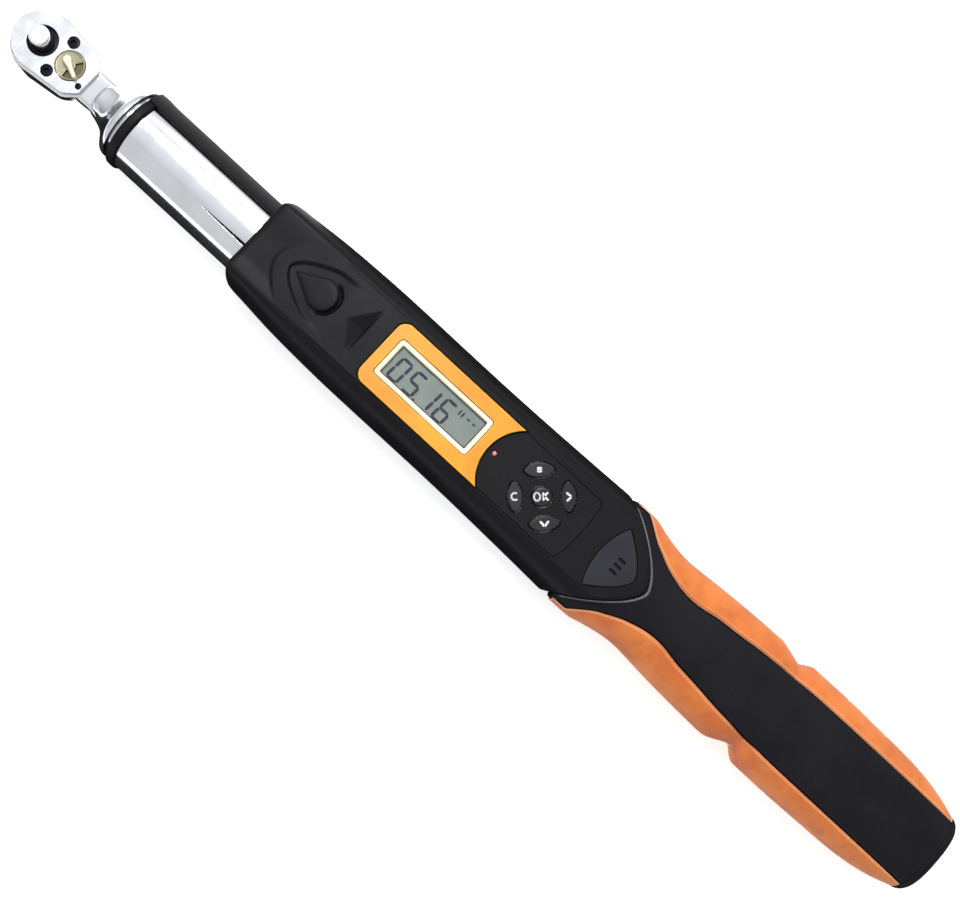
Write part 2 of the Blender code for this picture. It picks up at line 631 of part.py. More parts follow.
def keypad_outline(grow=0.0):
    """A panel whose front fits the bezel's hollow and whose back is slightly bowed."""
    half = KEYPAD_HALF + grow
    radius = BEZEL_ARC_RADIUS - 0.6 + grow
    reach = math.degrees(math.asin(half / radius))
    front = arc((BEZEL_ARC_X, 0.0), radius, 180, 180 - reach, 8)
    bow_reach = math.degrees(math.asin((half - 2.0) / KEYPAD_BOW))
    bow = arc((KEYPAD_END + grow - KEYPAD_BOW, 0.0), KEYPAD_BOW, bow_reach, 0.0, 4)
    corner = (bow[0][0] - 1.4, half)
    return mirrored(front + [corner] + bow)


def speaker_outline(grow=0.0):
    """A shield with a bowed front and a pointed tail."""
    half = SPEAKER_HALF + grow
    depth = SPEAKER_CORNER - SPEAKER_START
    radius = (SPEAKER_HALF**2 + depth**2) / (2 * depth)
    reach = math.degrees(math.asin(half / (radius + grow)))
    front = arc((SPEAKER_START + radius, 0.0), radius + grow, 180, 180 - reach, 5)
    tail = [(SPEAKER_TIP + grow - (SPEAKER_TIP - SPEAKER_CORNER) * (y / half) ** TAIL_POWER, y)
            for y in (half * (1 - i / 8) for i in range(1, 9))]
    return mirrored(front + tail)


def plug_outline(grow=0.0):
    """A teardrop with its point towards the head."""
    radius = PLUG_RADIUS + grow
    back = arc((PLUG_CENTRE, 0.0), radius, 0, 115, 9)
    return mirrored(back + [(PLUG_TIP + 1.2, 0.9 + grow * 0.6), (PLUG_TIP - grow, 0.0)])


def scoop_outline():
    """The shallow recess around the teardrop, opening towards the display."""
    steps = 8
    side = [(SCOOP_NOSE + 13.0 * (i / steps) ** 2, SCOOP_HALF * i / steps) for i in range(steps + 1)]
    return mirrored(side + [(SCOOP_END, SCOOP_HALF + 0.9)])


def housing_block(name):
    stations = [point[0] for point in HOUSING_HALF_WIDTHS]
    block = loft(name, [housing_ring(x) for x in stations])
    plan = plate(name + "_plan", tail_outline(0.0, HOUSING_START - 5.0), -5.0, 40.0)
    return boolean(block, plan, "INTERSECT")


def housing_cavity(name):
    stations = [CAVITY_START] + [point[0] for point in HOUSING_HALF_WIDTHS if point[0] > CAVITY_START]
    cavity = loft(name, [housing_ring(x, WALL) for x in stations])
    plan = plate(name + "_plan", tail_outline(-3.0, HOUSING_START - 5.0), -5.0, 40.0)
    return boolean(cavity, plan, "INTERSECT")


def screw_places():
    return [(x, side * y) for x, y in HOUSING_SCREWS for side in (1, -1)]


def make_housing_shells():
    bore = cylinder("housing_tube_bore", TUBE_RADIUS + GAP, HOUSING_START - 2.0, CAVITY_START + 1.0, axis="X",
                    centre=(0.0, AXIS_Z), segments=36)
    door = box("tail_door", (244.0, -5.3, 8.0), (262.0, 5.3, 24.4))
    cavity = housing_cavity("housing_cavity")
    upper = housing_block("housing_top_shell")
    cut(upper, cavity, bore, door, box("below_parting", (80.0, -40.0, -10.0), (270.0, 40.0, PARTING_Z)))
    lower = housing_block("housing_bottom_shell")
    cut(lower, cavity, bore, door, box("above_parting", (80.0, -40.0, PARTING_Z - GAP), (270.0, 40.0, 50.0)))
    for number, place in enumerate(screw_places(), 1):
        join(upper, cylinder("upper_boss", BOSS_RADIUS, PARTING_Z, 25.4, centre=place, segments=12))
        join(lower, cylinder("lower_boss", BOSS_RADIUS, 1.0, PARTING_Z - GAP, centre=place, segments=12))
        low, high = PARTING_Z - 1.0, PARTING_Z + 1.0
        cut(upper, cylinder("upper_boss_hole", SCREW_SHANK + 0.1, low, 21.4, centre=place, segments=10))
        cut(lower, cylinder("lower_boss_hole", SCREW_SHANK + 0.3, -1.0, high, centre=place, segments=10),
            cylinder("screw_sink", SCREW_HEAD + 0.3, -1.0, 2.4, centre=place, segments=16))
        profile = [(0.0, 21.0), (SCREW_SHANK, 21.0), (SCREW_SHANK, 2.1), (SCREW_HEAD, 2.1), (SCREW_HEAD, 0.7),
                   (0.0, 0.7)]
        screw = turned("housing_screw_%d" % number, profile, centre=place, segments=12)
        cut(screw, cylinder("screw_key_%d" % number, 1.1, 0.0, 1.4, centre=place, segments=6))
        finish(screw, "black_steel")
    x0, x1 = WINDOW_X
    border = FRAME_BORDER + GAP
    opening_low = (x0 - border, -WINDOW_HALF - border, 20.0)
    opening_high = (x1 + border, WINDOW_HALF + border, 40.0)
    cut(upper, plate("bezel_seat", bezel_outline(GAP), FACE_Z - 1.2, FACE_Z + 3.0),
        plate("keypad_seat", keypad_outline(GAP), FACE_Z - 1.1, FACE_Z + 3.0),
        plate("speaker_seat", speaker_outline(GAP), FACE_Z - 1.0, FACE_Z + 3.0),
        plate("scoop", scoop_outline(), FACE_Z - SCOOP_DEPTH, FACE_Z + 3.0),
        box("window_opening", opening_low, opening_high),
        box("key_opening", (200.5, -9.6, 20.0), (222.5, 9.6, 40.0)),
        cylinder("led_opening", 1.1, 20.0, 40.0, centre=(LED_X, 0.0), segments=16),
        cylinder("sound_opening", 3.4, 20.0, 40.0, centre=(SLIT_X, 0.0), segments=20),
        cylinder("plug_stem_hole", 3.0, 20.0, 40.0, centre=(PIVOT_PIN_X, 0.0), segments=24))
    finish(upper, "housing_black")
    finish(lower, "housing_black")


def make_plug():
    """The cap over the pivot pin: a teardrop that rises towards its round end."""
    low = FACE_Z - SCOOP_DEPTH + GAP
    plug = plate("pin_cover", plug_outline(), low, FACE_Z + 1.5)
    slope = box("plug_slope", (-20.0, -12.0, 0.0), (25.0, 12.0, 8.0))
    slope.rotation_euler = (0.0, math.radians(-5.5), 0.0)
    slope.location = Vector((PLUG_TIP, 0.0, FACE_Z - 0.2)) * MM
    cut(plug, slope)
    bevel(plug, 0.35)
    join(plug, cylinder("plug_stem", 2.7, 26.6, low + 0.6, centre=(PIVOT_PIN_X, 0.0), segments=24))
    finish(plug, "housing_black")


def make_display():
    x0, x1 = WINDOW_X
    border = FRAME_BORDER
    bezel = plate("bezel", bezel_outline(), FACE_Z - 0.9, FACE_Z + 0.8)
    bevel(bezel, 0.4, 1)
    seat = border + GAP
    outer = WINDOW_HALF + border
    opening = rounded_box(x0 - seat, x1 + seat, -WINDOW_HALF - seat, WINDOW_HALF + seat, 1.5, 3)
    cut(bezel, plate("bezel_window", opening, 20.0, 40.0))
    finish(bezel, "bezel_amber")
    rim = rounded_box(x0 - border, x1 + border, -outer, outer, 1.2, 3)
    frame = plate("window_frame", rim, FACE_Z - 0.9, FACE_Z + 0.5)
    cut(frame, box("frame_opening", (x0, -WINDOW_HALF, 20.0), (x1, WINDOW_HALF, 40.0)))
    finish(frame, "frame_white")
    half = WINDOW_HALF - GAP
    window = box("display_window", (x0 + GAP, -half, FACE_Z - 0.8), (x1 - GAP, half, FACE_Z - 0.1))
    finish(window, "window_clear")
    lap = 1.2
    half = WINDOW_HALF + lap
    module = box("lcd_module", (x0 - lap, -half, BOARD_TOP + GAP), (x1 + lap, half, FACE_Z - 1.3))
    finish(module, "lcd_glass")


def lens_outline(length, width):
    """Two shallow arcs that meet in rounded points."""
    radius = (length**2 / 4 + width**2 / 4) / width
    reach = math.degrees(math.asin(length / 2 / radius)) * 0.9
    upper = arc((0.0, width / 2 - radius), radius, 90 - reach, 90 + reach, 6)
    lower = arc((0.0, radius - width / 2), radius, 270 - reach, 270 + reach, 6)
    return upper + lower


def side_keys():
    """Name, centre and turn of the four keys around the middle one."""
    dx, dy = SIDE_KEY_OFFSET
    return (("units_key", (KEYPAD_X - dx, dy), 45.0), ("next_key", (KEYPAD_X + dx, dy), -45.0),
            ("clear_key", (KEYPAD_X - dx, -dy), -45.0), ("down_key", (KEYPAD_X + dx, -dy), 45.0))


def lens_at(centre, degrees, grow=0.0):
    outline = lens_outline(SIDE_KEY_LENGTH + 2 * grow, SIDE_KEY_WIDTH + 2 * grow)
    return [turn((centre[0] + x, centre[1] + y), centre, degrees) for x, y in outline]


def make_keypad():
    low, top = FACE_Z - 0.8, FACE_Z + 0.1
    panel = plate("keypad_panel", keypad_outline(), low, top)
    foot, lip, crown = BOARD_TOP + 1.9, FACE_Z - 1.5, FACE_Z + 0.9
    for name, centre, degrees in side_keys():
        cut(panel, plate(name + "_hole", lens_at(centre, degrees, 0.3), 20.0, 40.0))
        key = plate(name, lens_at(centre, degrees), foot, crown)
        bevel(key, 0.4, 1)
        finish(key, "key_black", origin=(*centre, lip))
    cut(panel, cylinder("ok_key_hole", OK_KEY_RADIUS + 0.3, 20.0, 40.0, centre=(KEYPAD_X, 0.0)),
        cylinder("led_hole", 0.95, 20.0, 40.0, centre=(LED_X, 0.0), segments=12))
    finish(panel, "keypad_rubber")
    dome = [(0.0, crown), (OK_KEY_RADIUS - 0.8, crown), (OK_KEY_RADIUS - 0.2, crown - 0.3),
            (OK_KEY_RADIUS, crown - 0.8), (OK_KEY_RADIUS, foot), (0.0, foot)]
    finish(turned("ok_key", dome, centre=(KEYPAD_X, 0.0), segments=24), "key_black")
    lamp = [(0.0, FACE_Z + 0.45), (0.4, FACE_Z + 0.4), (0.7, FACE_Z), (0.7, BOARD_TOP + GAP),
            (0.0, BOARD_TOP + GAP)]
    finish(turned("status_led", lamp, centre=(LED_X, 0.0), segments=12), "led_red")


def make_board():
    board = plate("main_board", rounded_box(143.0, 231.0, -12.0, 12.0, 2.0, 3), BOARD_LOW, BOARD_TOP)
    finish(board, "board_green")
    low, high = BOARD_TOP + GAP, BOARD_TOP + 0.7
    sheet = plate("dome_sheet", rounded_box(202.0, 221.2, -9.0, 9.0, 1.0, 2), low, high)
    for place in [(KEYPAD_X, 0.0)] + [key[1] for key in side_keys()]:
        join(sheet, cylinder("dome", 2.0, high - 0.2, high + 0.4, centre=place, segments=12, end_radius=1.1))
    finish(sheet, "spring_steel")
    finish(cylinder("buzzer", BUZZER_RADIUS, 22.2, 26.6, centre=(SLIT_X - 4.0, 0.0)), "black_steel")


def make_speaker_panel():
    panel = plate("speaker_panel", speaker_outline(), FACE_Z - 0.7, FACE_Z + 0.15)
    bevel(panel, 0.2, 1)
    for row in (-1, 0, 1):
        y = row * SLIT_PITCH
        slit = rounded_box(SLIT_X - 1.3, SLIT_X + 1.3, y - 0.4, y + 0.4, 0.35, 3)
        cut(panel, plate("slit_%d" % row, slit, 20.0, 40.0))
    finish(panel, "panel_grey")


# ---------------------------------------------------------------- handle

def section_point(half, height, y=None, angle=None):
    """A point of the superellipse section, at an angle or above a place across."""
    if angle is None:
        cosine = min(1.0, abs(y) / half) ** (SQUARENESS / 2)
        angle = math.acos(cosine)
    c, s = math.cos(angle), math.sin(angle)
    power = 2 / SQUARENESS
    return (half * math.copysign(abs(c) ** power, c), height * math.copysign(abs(s) ** power, s))


def angle_at(half, y):
    return math.acos(min(1.0, y / half) ** (SQUARENESS / 2))


def side_arc(half, height, y, steps):
    """The section's side from above y round to below it."""
    start = angle_at(half, y)
    return [section_point(half, height, angle=start - 2 * start * i / steps) for i in range(steps + 1)]


def grip_half(x, side):
    """Half the handle's width on one side with the finger notch and the ticks taken out."""
    half = along(HANDLE_HALF_WIDTHS, x)
    place, before, after, depth = FINGER_NOTCHES[side]
    reach = before if x < place else after
    half -= depth * max(0.0, 1.0 - abs(x - place) / reach) ** 1.3
    for tick in TICKS:
        half -= TICK_DEPTH * max(0.0, 1.0 - abs(x - tick) / TICK_REACH)
    return half


def core_ring(x):
    """The core's section: a wide strip above and below, and sides set back under the grips."""
    half, height = along(HANDLE_HALF_WIDTHS, x), along(HANDLE_HEIGHTS, x)
    depth = along(GRIP_DEPTHS, x)
    strip = min(along(STRIP_HALF_WIDTHS, x), half - depth - 0.25)
    side = side_arc(half - depth, height - depth, strip, 6)
    edge = section_point(half, height, y=strip)
    steps = 4
    across = [edge[0] * (1 - 2 * i / steps) for i in range(1, steps)]
    top = [edge] + [section_point(half, height, y=abs(y)) for y in across] + [edge]
    signs = [1.0] + [math.copysign(1.0, y) if abs(y) > 1e-9 else 0.0 for y in across] + [-1.0]
    upper = [(sign * point[0], point[1]) for sign, point in zip(signs, top)]
    ring = side + [(y, -z) for y, z in upper] + [(-y, z) for y, z in reversed(side)] + upper[::-1]
    return [(x, y, AXIS_Z + z) for y, z in ring]


def grip_ring(x, side):
    """One grip's section: a C that wraps the core's side."""
    whole, height = along(HANDLE_HALF_WIDTHS, x), along(HANDLE_HEIGHTS, x)
    depth = along(GRIP_DEPTHS, x)
    strip = min(along(STRIP_HALF_WIDTHS, x), whole - depth - 0.25) + GRIP_LAP
    notch = whole - grip_half(x, side)
    outer = side_arc(whole - notch, height - notch * 0.5, strip, 6)
    inner = side_arc(whole - depth + GAP, height - depth + GAP, strip, 6)
    return [(x, side * y, AXIS_Z + z) for y, z in outer + list(reversed(inner))]


def handle_stations(start, side=None):
    """Places along the handle, closer together where a side's grip is notched."""
    places = [start, 247.0, 250.6, 255.0, 260.0, 268.0, 277.0, 287.0, 296.0, 322.0, 336.0, 352.0, 367.0, 371.0,
              HANDLE_END]
    if side is None:
        return sorted(places + [310.0])
    place, before, after, _ = FINGER_NOTCHES[side]
    places += [place - before * share for share in (1.0, 0.66, 0.33, 0.0)]
    places += [place + after * share for share in (0.4, 1.0)]
    for tick in TICKS:
        places += [tick - TICK_REACH, tick, tick + TICK_REACH]
    return sorted(places)


def bay_outline(grow=0.0):
    """The battery bay's section in y and z."""
    reach = BAY_HALF + grow
    return rounded_box(-reach, reach, -reach, reach, BAY_CORNER + grow, 4)


def bay_prism(name, start, end, grow=0.0):
    return loft(name, [[(x, y, AXIS_Z + z) for y, z in bay_outline(grow)] for x in (start, end)])


def make_handle():
    core = loft("handle_core", [core_ring(x) for x in handle_stations(HANDLE_START - 1.0)])
    cut(core, plate("tail_clearance", tail_outline(0.5, 200.0), -10.0, 50.0),
        box("beam_slot", (230.0, -5.2, 8.4), (288.0, 5.2, 24.0)),
        bay_prism("battery_bay", BAY_START, HANDLE_END + 5.0),
        cylinder("lead_bore", LEAD_RADIUS + 1.0, 280.0, BAY_START + 2.0, axis="X", centre=(LEAD_Y, LEAD_Z),
                 segments=12),
        cylinder("handle_pin_bore", 2.2, AXIS_Z - 10.6, AXIS_Z + 10.6, centre=(HANDLE_PIN_X, 0.0), segments=20))
    finish(core, "core_black")
    for side, word in ((1, "left"), (-1, "right")):
        grip = loft("grip_" + word, [grip_ring(x, side) for x in handle_stations(GRIP_START, side)])
        finish(grip, "grip_orange")


def make_cells():
    for number, (y, z) in enumerate(((1, 1), (-1, 1), (-1, -1), (1, -1)), 1):
        flip = -1 if number % 2 else 1
        centre = (y * CELL_OFFSET, AXIS_Z + z * CELL_OFFSET)
        start, end = (CELL_START, CELL_START + CELL_LENGTH)
        near, far = (start, end - 0.9) if flip > 0 else (start + 0.9, end)
        cell = cylinder("cell_%d" % number, CELL_RADIUS, near, far, axis="X", centre=centre, segments=20)
        nub = (end - 1.5, end) if flip > 0 else (start, start + 1.5)
        join(cell, cylinder("cell_nub", 1.9, *nub, axis="X", centre=centre, segments=10))
        finish(cell, "cell_silver")


def make_butt():
    finish(bay_prism("front_contact", BAY_START + 0.4, CELL_START - 0.4, -0.4), "spring_steel")
    rear_start = CELL_START + CELL_LENGTH + 0.4
    finish(bay_prism("rear_contact", rear_start, rear_start + 0.8, -0.6), "spring_steel")
    rings = []
    for x, shrink in ((HANDLE_END + GAP, 0.0), (BUTT_END - 1.5, 0.4), (BUTT_END - 0.5, 1.4), (BUTT_END, 3.2)):
        half, height = CAP_HALF_WIDTH - shrink, CAP_HALF_HEIGHT - shrink
        section = [section_point(half, height, angle=math.tau * i / CAP_STEPS) for i in range(CAP_STEPS)]
        rings.append([(x, y, AXIS_Z + z) for y, z in section])
    cap = loft("end_cap", rings)
    join(cap, bay_prism("cap_spigot", rear_start + 1.1, HANDLE_END + 1.0, -0.3))
    finish(cap, "cap_black")


# ---------------------------------------------------------------- wiring

def make_wiring():
    gauge_lead = [(85.0, 6.2, 17.0), (92.0, 7.0, 19.0), (100.0, 6.6, 21.5), (110.0, 6.0, 22.3), (122.0, 7.0, 22.2),
                  (132.0, 7.4, 22.0), (144.0, 7.4, 22.4), (150.0, 7.4, 22.6)]
    finish(wire("gauge_lead", gauge_lead, 0.7), "lead_red")
    battery_lead = [(226.0, -7.6, 22.4), (236.0, -7.8, LEAD_Z), (242.0, -7.4, LEAD_Z), (248.0, -4.4, LEAD_Z),
                    (254.0, LEAD_Y, LEAD_Z), (290.0, LEAD_Y, LEAD_Z), (BAY_START, LEAD_Y, LEAD_Z)]
    finish(wire("battery_lead", battery_lead, LEAD_RADIUS), "lead_red")


def make_materials():
    material("chrome", (0.86, 0.87, 0.89), 0.12, 1.0)
    material("satin_chrome", (0.78, 0.79, 0.82), 0.28, 1.0)
    material("black_steel", (0.05, 0.05, 0.055), 0.4, 0.8)
    material("spring_steel", (0.55, 0.56, 0.58), 0.3, 1.0)
    material("lever_brass", (0.72, 0.66, 0.38), 0.35, 0.9)
    material("gauge_foil", (0.75, 0.55, 0.2), 0.4, 0.6)
    material("collar_black", (0.03, 0.028, 0.035), 0.45)
    material("housing_black", (0.022, 0.022, 0.026), 0.5)
    material("core_black", (0.018, 0.018, 0.022), 0.6)
    material("cap_black", (0.018, 0.018, 0.022), 0.55)
    material("bezel_amber", (0.86, 0.42, 0.05), 0.35)
    material("frame_white", (0.85, 0.84, 0.8), 0.45)
    material("window_clear", (0.9, 0.92, 0.92), 0.05)
    material("lcd_glass", (0.27, 0.31, 0.29), 0.3)
    material("keypad_rubber", (0.03, 0.03, 0.034), 0.6)
    material("key_black", (0.015, 0.015, 0.018), 0.35)
    material("led_red", (0.6, 0.03, 0.05), 0.2)
    material("board_green", (0.02, 0.16, 0.06), 0.5)
    material("panel_grey", (0.06, 0.06, 0.068), 0.45)
    material("grip_orange", (0.68, 0.2, 0.04), 0.6)
    material("cell_silver", (0.6, 0.6, 0.58), 0.35, 0.7)
    material("lead_red", (0.5, 0.03, 0.03), 0.5)


def main():
    global PARTS, CUTTERS
    clear_scene()
    PARTS = new_collection("digital_torque_wrench")
    CUTTERS = new_collection("cutters")
    make_materials()
    drive_axis = pivot("drive_axis", (0.0, 0.0, 0.0))
    lever_axis = pivot("lever_axis", (LEVER_X, 0.0, HEAD_TOP))
    make_forging()
    make_cover()
    make_drive(drive_axis)
    make_lever(lever_axis)
    make_pawl(lever_axis)
    make_collar()
    make_tube()
    make_beam()
    make_housing_shells()
    make_plug()
    make_display()
    make_keypad()
    make_board()
    make_speaker_panel()
    make_handle()
    make_cells()
    make_butt()
    make_wiring()


main()
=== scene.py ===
"""The looks of a digital torque wrench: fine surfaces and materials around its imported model.

Lengths are in millimetres until MM turns them into metres. X runs from the drive square to the butt,
the display faces +Z, and the tool lies on the floor at z = 0.
"""

import json
import math

import bmesh
import bpy
from mathutils import Matrix, Vector


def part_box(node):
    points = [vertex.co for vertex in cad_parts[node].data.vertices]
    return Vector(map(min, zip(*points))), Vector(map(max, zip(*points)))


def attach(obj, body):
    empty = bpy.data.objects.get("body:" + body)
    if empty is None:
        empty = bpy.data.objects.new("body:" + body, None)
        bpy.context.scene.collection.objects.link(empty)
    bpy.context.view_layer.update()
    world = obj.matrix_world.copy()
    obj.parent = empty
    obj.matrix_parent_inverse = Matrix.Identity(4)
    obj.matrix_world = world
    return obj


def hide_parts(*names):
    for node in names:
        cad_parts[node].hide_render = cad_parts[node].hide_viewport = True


MM = 0.001

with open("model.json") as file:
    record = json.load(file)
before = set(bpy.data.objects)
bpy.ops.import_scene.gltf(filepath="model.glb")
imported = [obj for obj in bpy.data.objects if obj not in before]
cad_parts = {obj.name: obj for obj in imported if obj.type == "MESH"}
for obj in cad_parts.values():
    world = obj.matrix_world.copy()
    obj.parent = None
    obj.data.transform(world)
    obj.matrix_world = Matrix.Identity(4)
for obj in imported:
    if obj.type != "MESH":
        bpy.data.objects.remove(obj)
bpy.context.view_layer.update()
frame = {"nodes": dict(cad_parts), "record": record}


def span(node):
    """A CAD node's lowest and highest corners in millimetres."""
    low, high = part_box(node)
    return low / MM, high / MM


# Tool line and head
TUBE_LOW, TUBE_HIGH = span("chrome_tube")
AXIS_Z = (TUBE_LOW.z + TUBE_HIGH.z) / 2
TUBE_RADIUS = (TUBE_HIGH.z - TUBE_LOW.z) / 2
TUBE_WALL = 1.5
COVER_LOW, COVER_HIGH = span("head_cover_plate")
FORGING_LOW = span("head_forging")[0]
HEAD_LOW, HEAD_GAP, COVER_INSET, HEAD_UNDERCUT = 9.0, 0.15, 0.9, 3.0
NOSE_RADIUS = -FORGING_LOW.x
HEAD_SHOULDER = (16.0, 9.1)
HEAD_END = (20.4, 5.3)
DRIVE_HOLE_RADIUS = 5.1
BUTTON_TOP = span("release_button")[1].z
BUTTON_RADIUS = span("release_button")[1].y
GEAR_LOW, GEAR_TOP = 11.0, 18.6
GEAR_TEETH, GEAR_ROOT, GEAR_TIP = 36, 6.4, 7.0
DRIVE_HALF = 3.175
BALL_Z = 4.0
LEVER_X = 11.7
LEVER_DISC_RADIUS = 4.75
LEVER_REST_DEG = -26.0
COVER_SCREW_X, COVER_SCREW_Y = 7.4, 6.1
INDEX_X, INDEX_Y, INDEX_RADIUS = 18.0, -3.1, 1.05
COLLAR_START = span("tube_collar")[0].x
COLLAR_END, COLLAR_RADIUS = 41.7, 14.0
RAIL_FROM_DEG, RAIL_TO_DEG, RAIL_RADIUS = 24.0, 54.0, 14.45
SLIT_ANGLE_DEG = 21.5
GAP = 0.3

# Housing
HOUSING_LOW, HOUSING_HIGH = span("housing_top_shell")
HOUSING_START = HOUSING_LOW.x
FACE_Z = HOUSING_HIGH.z
FACE_HALF = 12.2
FACE_STEP, FACE_POINTS = 0.32, 48
WAIST_Z = 14.0
PARTING_Z = HOUSING_LOW.z
HOUSING_HALF_WIDTHS = ((91.6, 14.2), (92.7, 15.9), (94.4, 16.8), (100.5, 17.4), (113.0, 18.5),
                       (126.0, 19.1), (140.0, 19.4), (183.0, 19.4), (212.0, 20.0), (241.0, 20.9),
                       (256.0, 21.2))
TAIL_TIP = HOUSING_HIGH.x
TAIL_LENGTH, TAIL_HALF, TAIL_POWER = 22.0, 20.0, 1.55
TAIL_FROM = 222.0
SCREW_PLACES = ((112.0, 12.5), (236.0, 14.0))

# Display, keypad and speaker
BEZEL_LOW, BEZEL_HIGH = span("bezel")
BEZEL_CORNER, BEZEL_HALF = 3.6, 11.7
BEZEL_ARC_X, BEZEL_ARC_RADIUS = 204.9, 15.7
FRAME_LOW, FRAME_HIGH = span("window_frame")
FRAME_BORDER = 1.5
WINDOW_HALF = FRAME_HIGH.y - FRAME_BORDER
WINDOW_START, WINDOW_END = FRAME_LOW.x + FRAME_BORDER, FRAME_HIGH.x - FRAME_BORDER
LCD_LOW, LCD_HIGH = span("lcd_module")
KEYPAD_LOW, KEYPAD_HIGH = span("keypad_panel")
KEYPAD_HALF, KEYPAD_BOW = 11.4, 60.0
OK_LOW, OK_HIGH = span("ok_key")
KEYPAD_X = (OK_LOW.x + OK_HIGH.x) / 2
KEY_CROWN = OK_HIGH.z
SIDE_KEY_LENGTH, SIDE_KEY_WIDTH, OK_RADIUS, KEY_GAP = 10.4, 4.8, 3.2, 0.28
LED_X = 191.9
SPEAKER_LOW, SPEAKER_HIGH = span("speaker_panel")
SPEAKER_CORNER, SPEAKER_HALF = 238.7, 11.3
SLIT_X, SLIT_PITCH = 243.3, 2.2
PLUG_LOW = span("pin_cover")[0]
PLUG_CENTRE, PLUG_RADIUS = 119.9, 5.3
SCOOP_NOSE, SCOOP_HALF, SCOOP_END, SCOOP_DEPTH = 106.6, 9.6, 137.6, 0.8

# Handle
HANDLE_END = span("handle_core")[1].x
CAP_LOW, CAP_HIGH = span("end_cap")
SQUARENESS = 2.6
HANDLE_HALF_WIDTHS = ((241.0, 21.0), (244.5, 20.8), (248.7, 19.7), (253.0, 18.75), (257.6, 18.0),
                      (262.0, 17.85), (266.0, 18.1), (277.0, 18.9), (294.0, 19.6), (325.0, 20.0),
                      (338.0, 19.7), (353.0, 19.2), (361.0, 18.5), (369.0, 16.9), (HANDLE_END, 14.9))
HANDLE_HEIGHTS = ((241.0, 14.0), (260.0, 12.8), (285.0, 13.6), (320.0, 14.2), (350.0, 14.2),
                  (HANDLE_END, 13.0))
STRIP_HALF_WIDTHS = ((241.0, 19.6), (244.2, 16.9), (248.0, 14.1), (251.6, 12.3), (255.4, 10.5),
                     (259.1, 9.3), (262.8, 8.35), (267.0, 7.9), (271.0, 8.05), (277.7, 9.2), (285.0, 9.85),
                     (296.0, 11.0), (313.0, 11.9), (325.0, 12.15), (HANDLE_END, 12.15))
GRIP_DEPTHS = ((241.0, 0.5), (244.0, 0.8), (262.0, 2.8), (285.0, 3.6), (345.0, 3.6), (HANDLE_END, 2.3))
GRIP_START = 236.0
# Each side's finger notch: its place, its reach before and after, its depth and how sharp its sides are.
FINGER_NOTCHES = {1: (308.3, 9.0, 4.5, 2.6, 1.15), -1: (309.0, 9.5, 5.5, 3.6, 1.5)}
ROUND_NOTCH = 1.3
TICKS = (328.0, 343.7, 359.0)
TICK_REACH, TICK_DEPTH = 0.9, 0.6
BAY_START, BAY_HALF = 326.0, 10.8
RIM_START, RIM_WIDTH, RIM_HEIGHT, RIM_REACH = 0.45, 1.15, 0.45, 18.4
GRIP_SETBACK = 2.0

# Camera
VIEW_TARGET = (0.1876, -0.00065, 0.015)
VIEW_DISTANCE = 0.445
VIEW_TILT_DEG = 5.0
VIEW_TURN_DEG = 42.66
VIEW_LENS = 52.5

# Light
FLOOR_HALF = 3000.0
FLOOR_Z, FLAG_Z, CARD_LOW = -0.05, -0.03, 10.0
FLOOR_GLOW = 0.6
SKY_SIDE, SKY_SHARES, SKY_LEAST = 0.22, {"X": -0.3, "Y": 0.28, "Z": 0.78}, 0.02
# Where dark cloth lies on the floor beside the tool, each as x0, x1, y0, y1.
FLAGS = ((-60.0, 36.0, -90.0, -8.0), (36.0, 460.0, -90.0, -2.0), (96.0, 460.0, -2.0, 120.0))
CARD_START, CARD_END, CARD_Y, CARD_TOP, CARD_GLOW = -600.0, 1000.0, -500.0, 700.0, 0.8


# ---------------------------------------------------------------- outlines and curves

def along(table, x):
    """The value at x of a smooth curve through the table's points."""
    if x <= table[0][0]:
        return table[0][1]
    if x >= table[-1][0]:
        return table[-1][1]
    index = max(i for i, point in enumerate(table[:-1]) if point[0] <= x)
    (x0, y0), (x1, y1) = table[index], table[index + 1]
    before = table[max(index - 1, 0)]
    after = table[min(index + 2, len(table) - 1)]
    slope0 = (y1 - before[1]) / (x1 - before[0])
    slope1 = (after[1] - y0) / (after[0] - x0)
    u = (x - x0) / (x1 - x0)
    span_x = x1 - x0
    return ((2 * u**3 - 3 * u**2 + 1) * y0 + (u**3 - 2 * u**2 + u) * span_x * slope0
            + (3 * u**2 - 2 * u**3) * y1 + (u**3 - u**2) * span_x * slope1)


def smooth(value, low=0.0, high=1.0):
    """0 below low, 1 above high and a smooth step between."""
    u = min(1.0, max(0.0, (value - low) / (high - low)))
    return u * u * (3 - 2 * u)


def spread(start, end, step):
    """Places from start to end, both included, about a step apart."""
    count = max(1, round((end - start) / step))
    return [start + (end - start) * i / count for i in range(count + 1)]


def arc(centre, radius, start_deg, end_deg, steps):
    angles = [math.radians(start_deg + (end_deg - start_deg) * i / steps) for i in range(steps + 1)]
    return [(centre[0] + radius * math.cos(a), centre[1] + radius * math.sin(a)) for a in angles]


def rounded_box(x0, x1, y0, y1, radius, steps=6):
    corners = ((x1, y1, 0), (x0, y1, 90), (x0, y0, 180), (x1, y0, 270))
    points = []
    for x, y, start in corners:
        centre = (x - radius if x == x1 else x + radius, y - radius if y == y1 else y + radius)
        points += arc(centre, radius, start, start + 90, steps)
    return points


def turn(point, centre, degrees):
    a = math.radians(degrees)
    dx, dy = point[0] - centre[0], point[1] - centre[1]
    return (centre[0] + dx * math.cos(a) - dy * math.sin(a),
            centre[1] + dx * math.sin(a) + dy * math.cos(a))


def mirrored(points):
    """The upper half of an outline followed by its mirror image in y."""
    return points + [(x, -y) for x, y in reversed(points) if abs(y) > 1e-6]


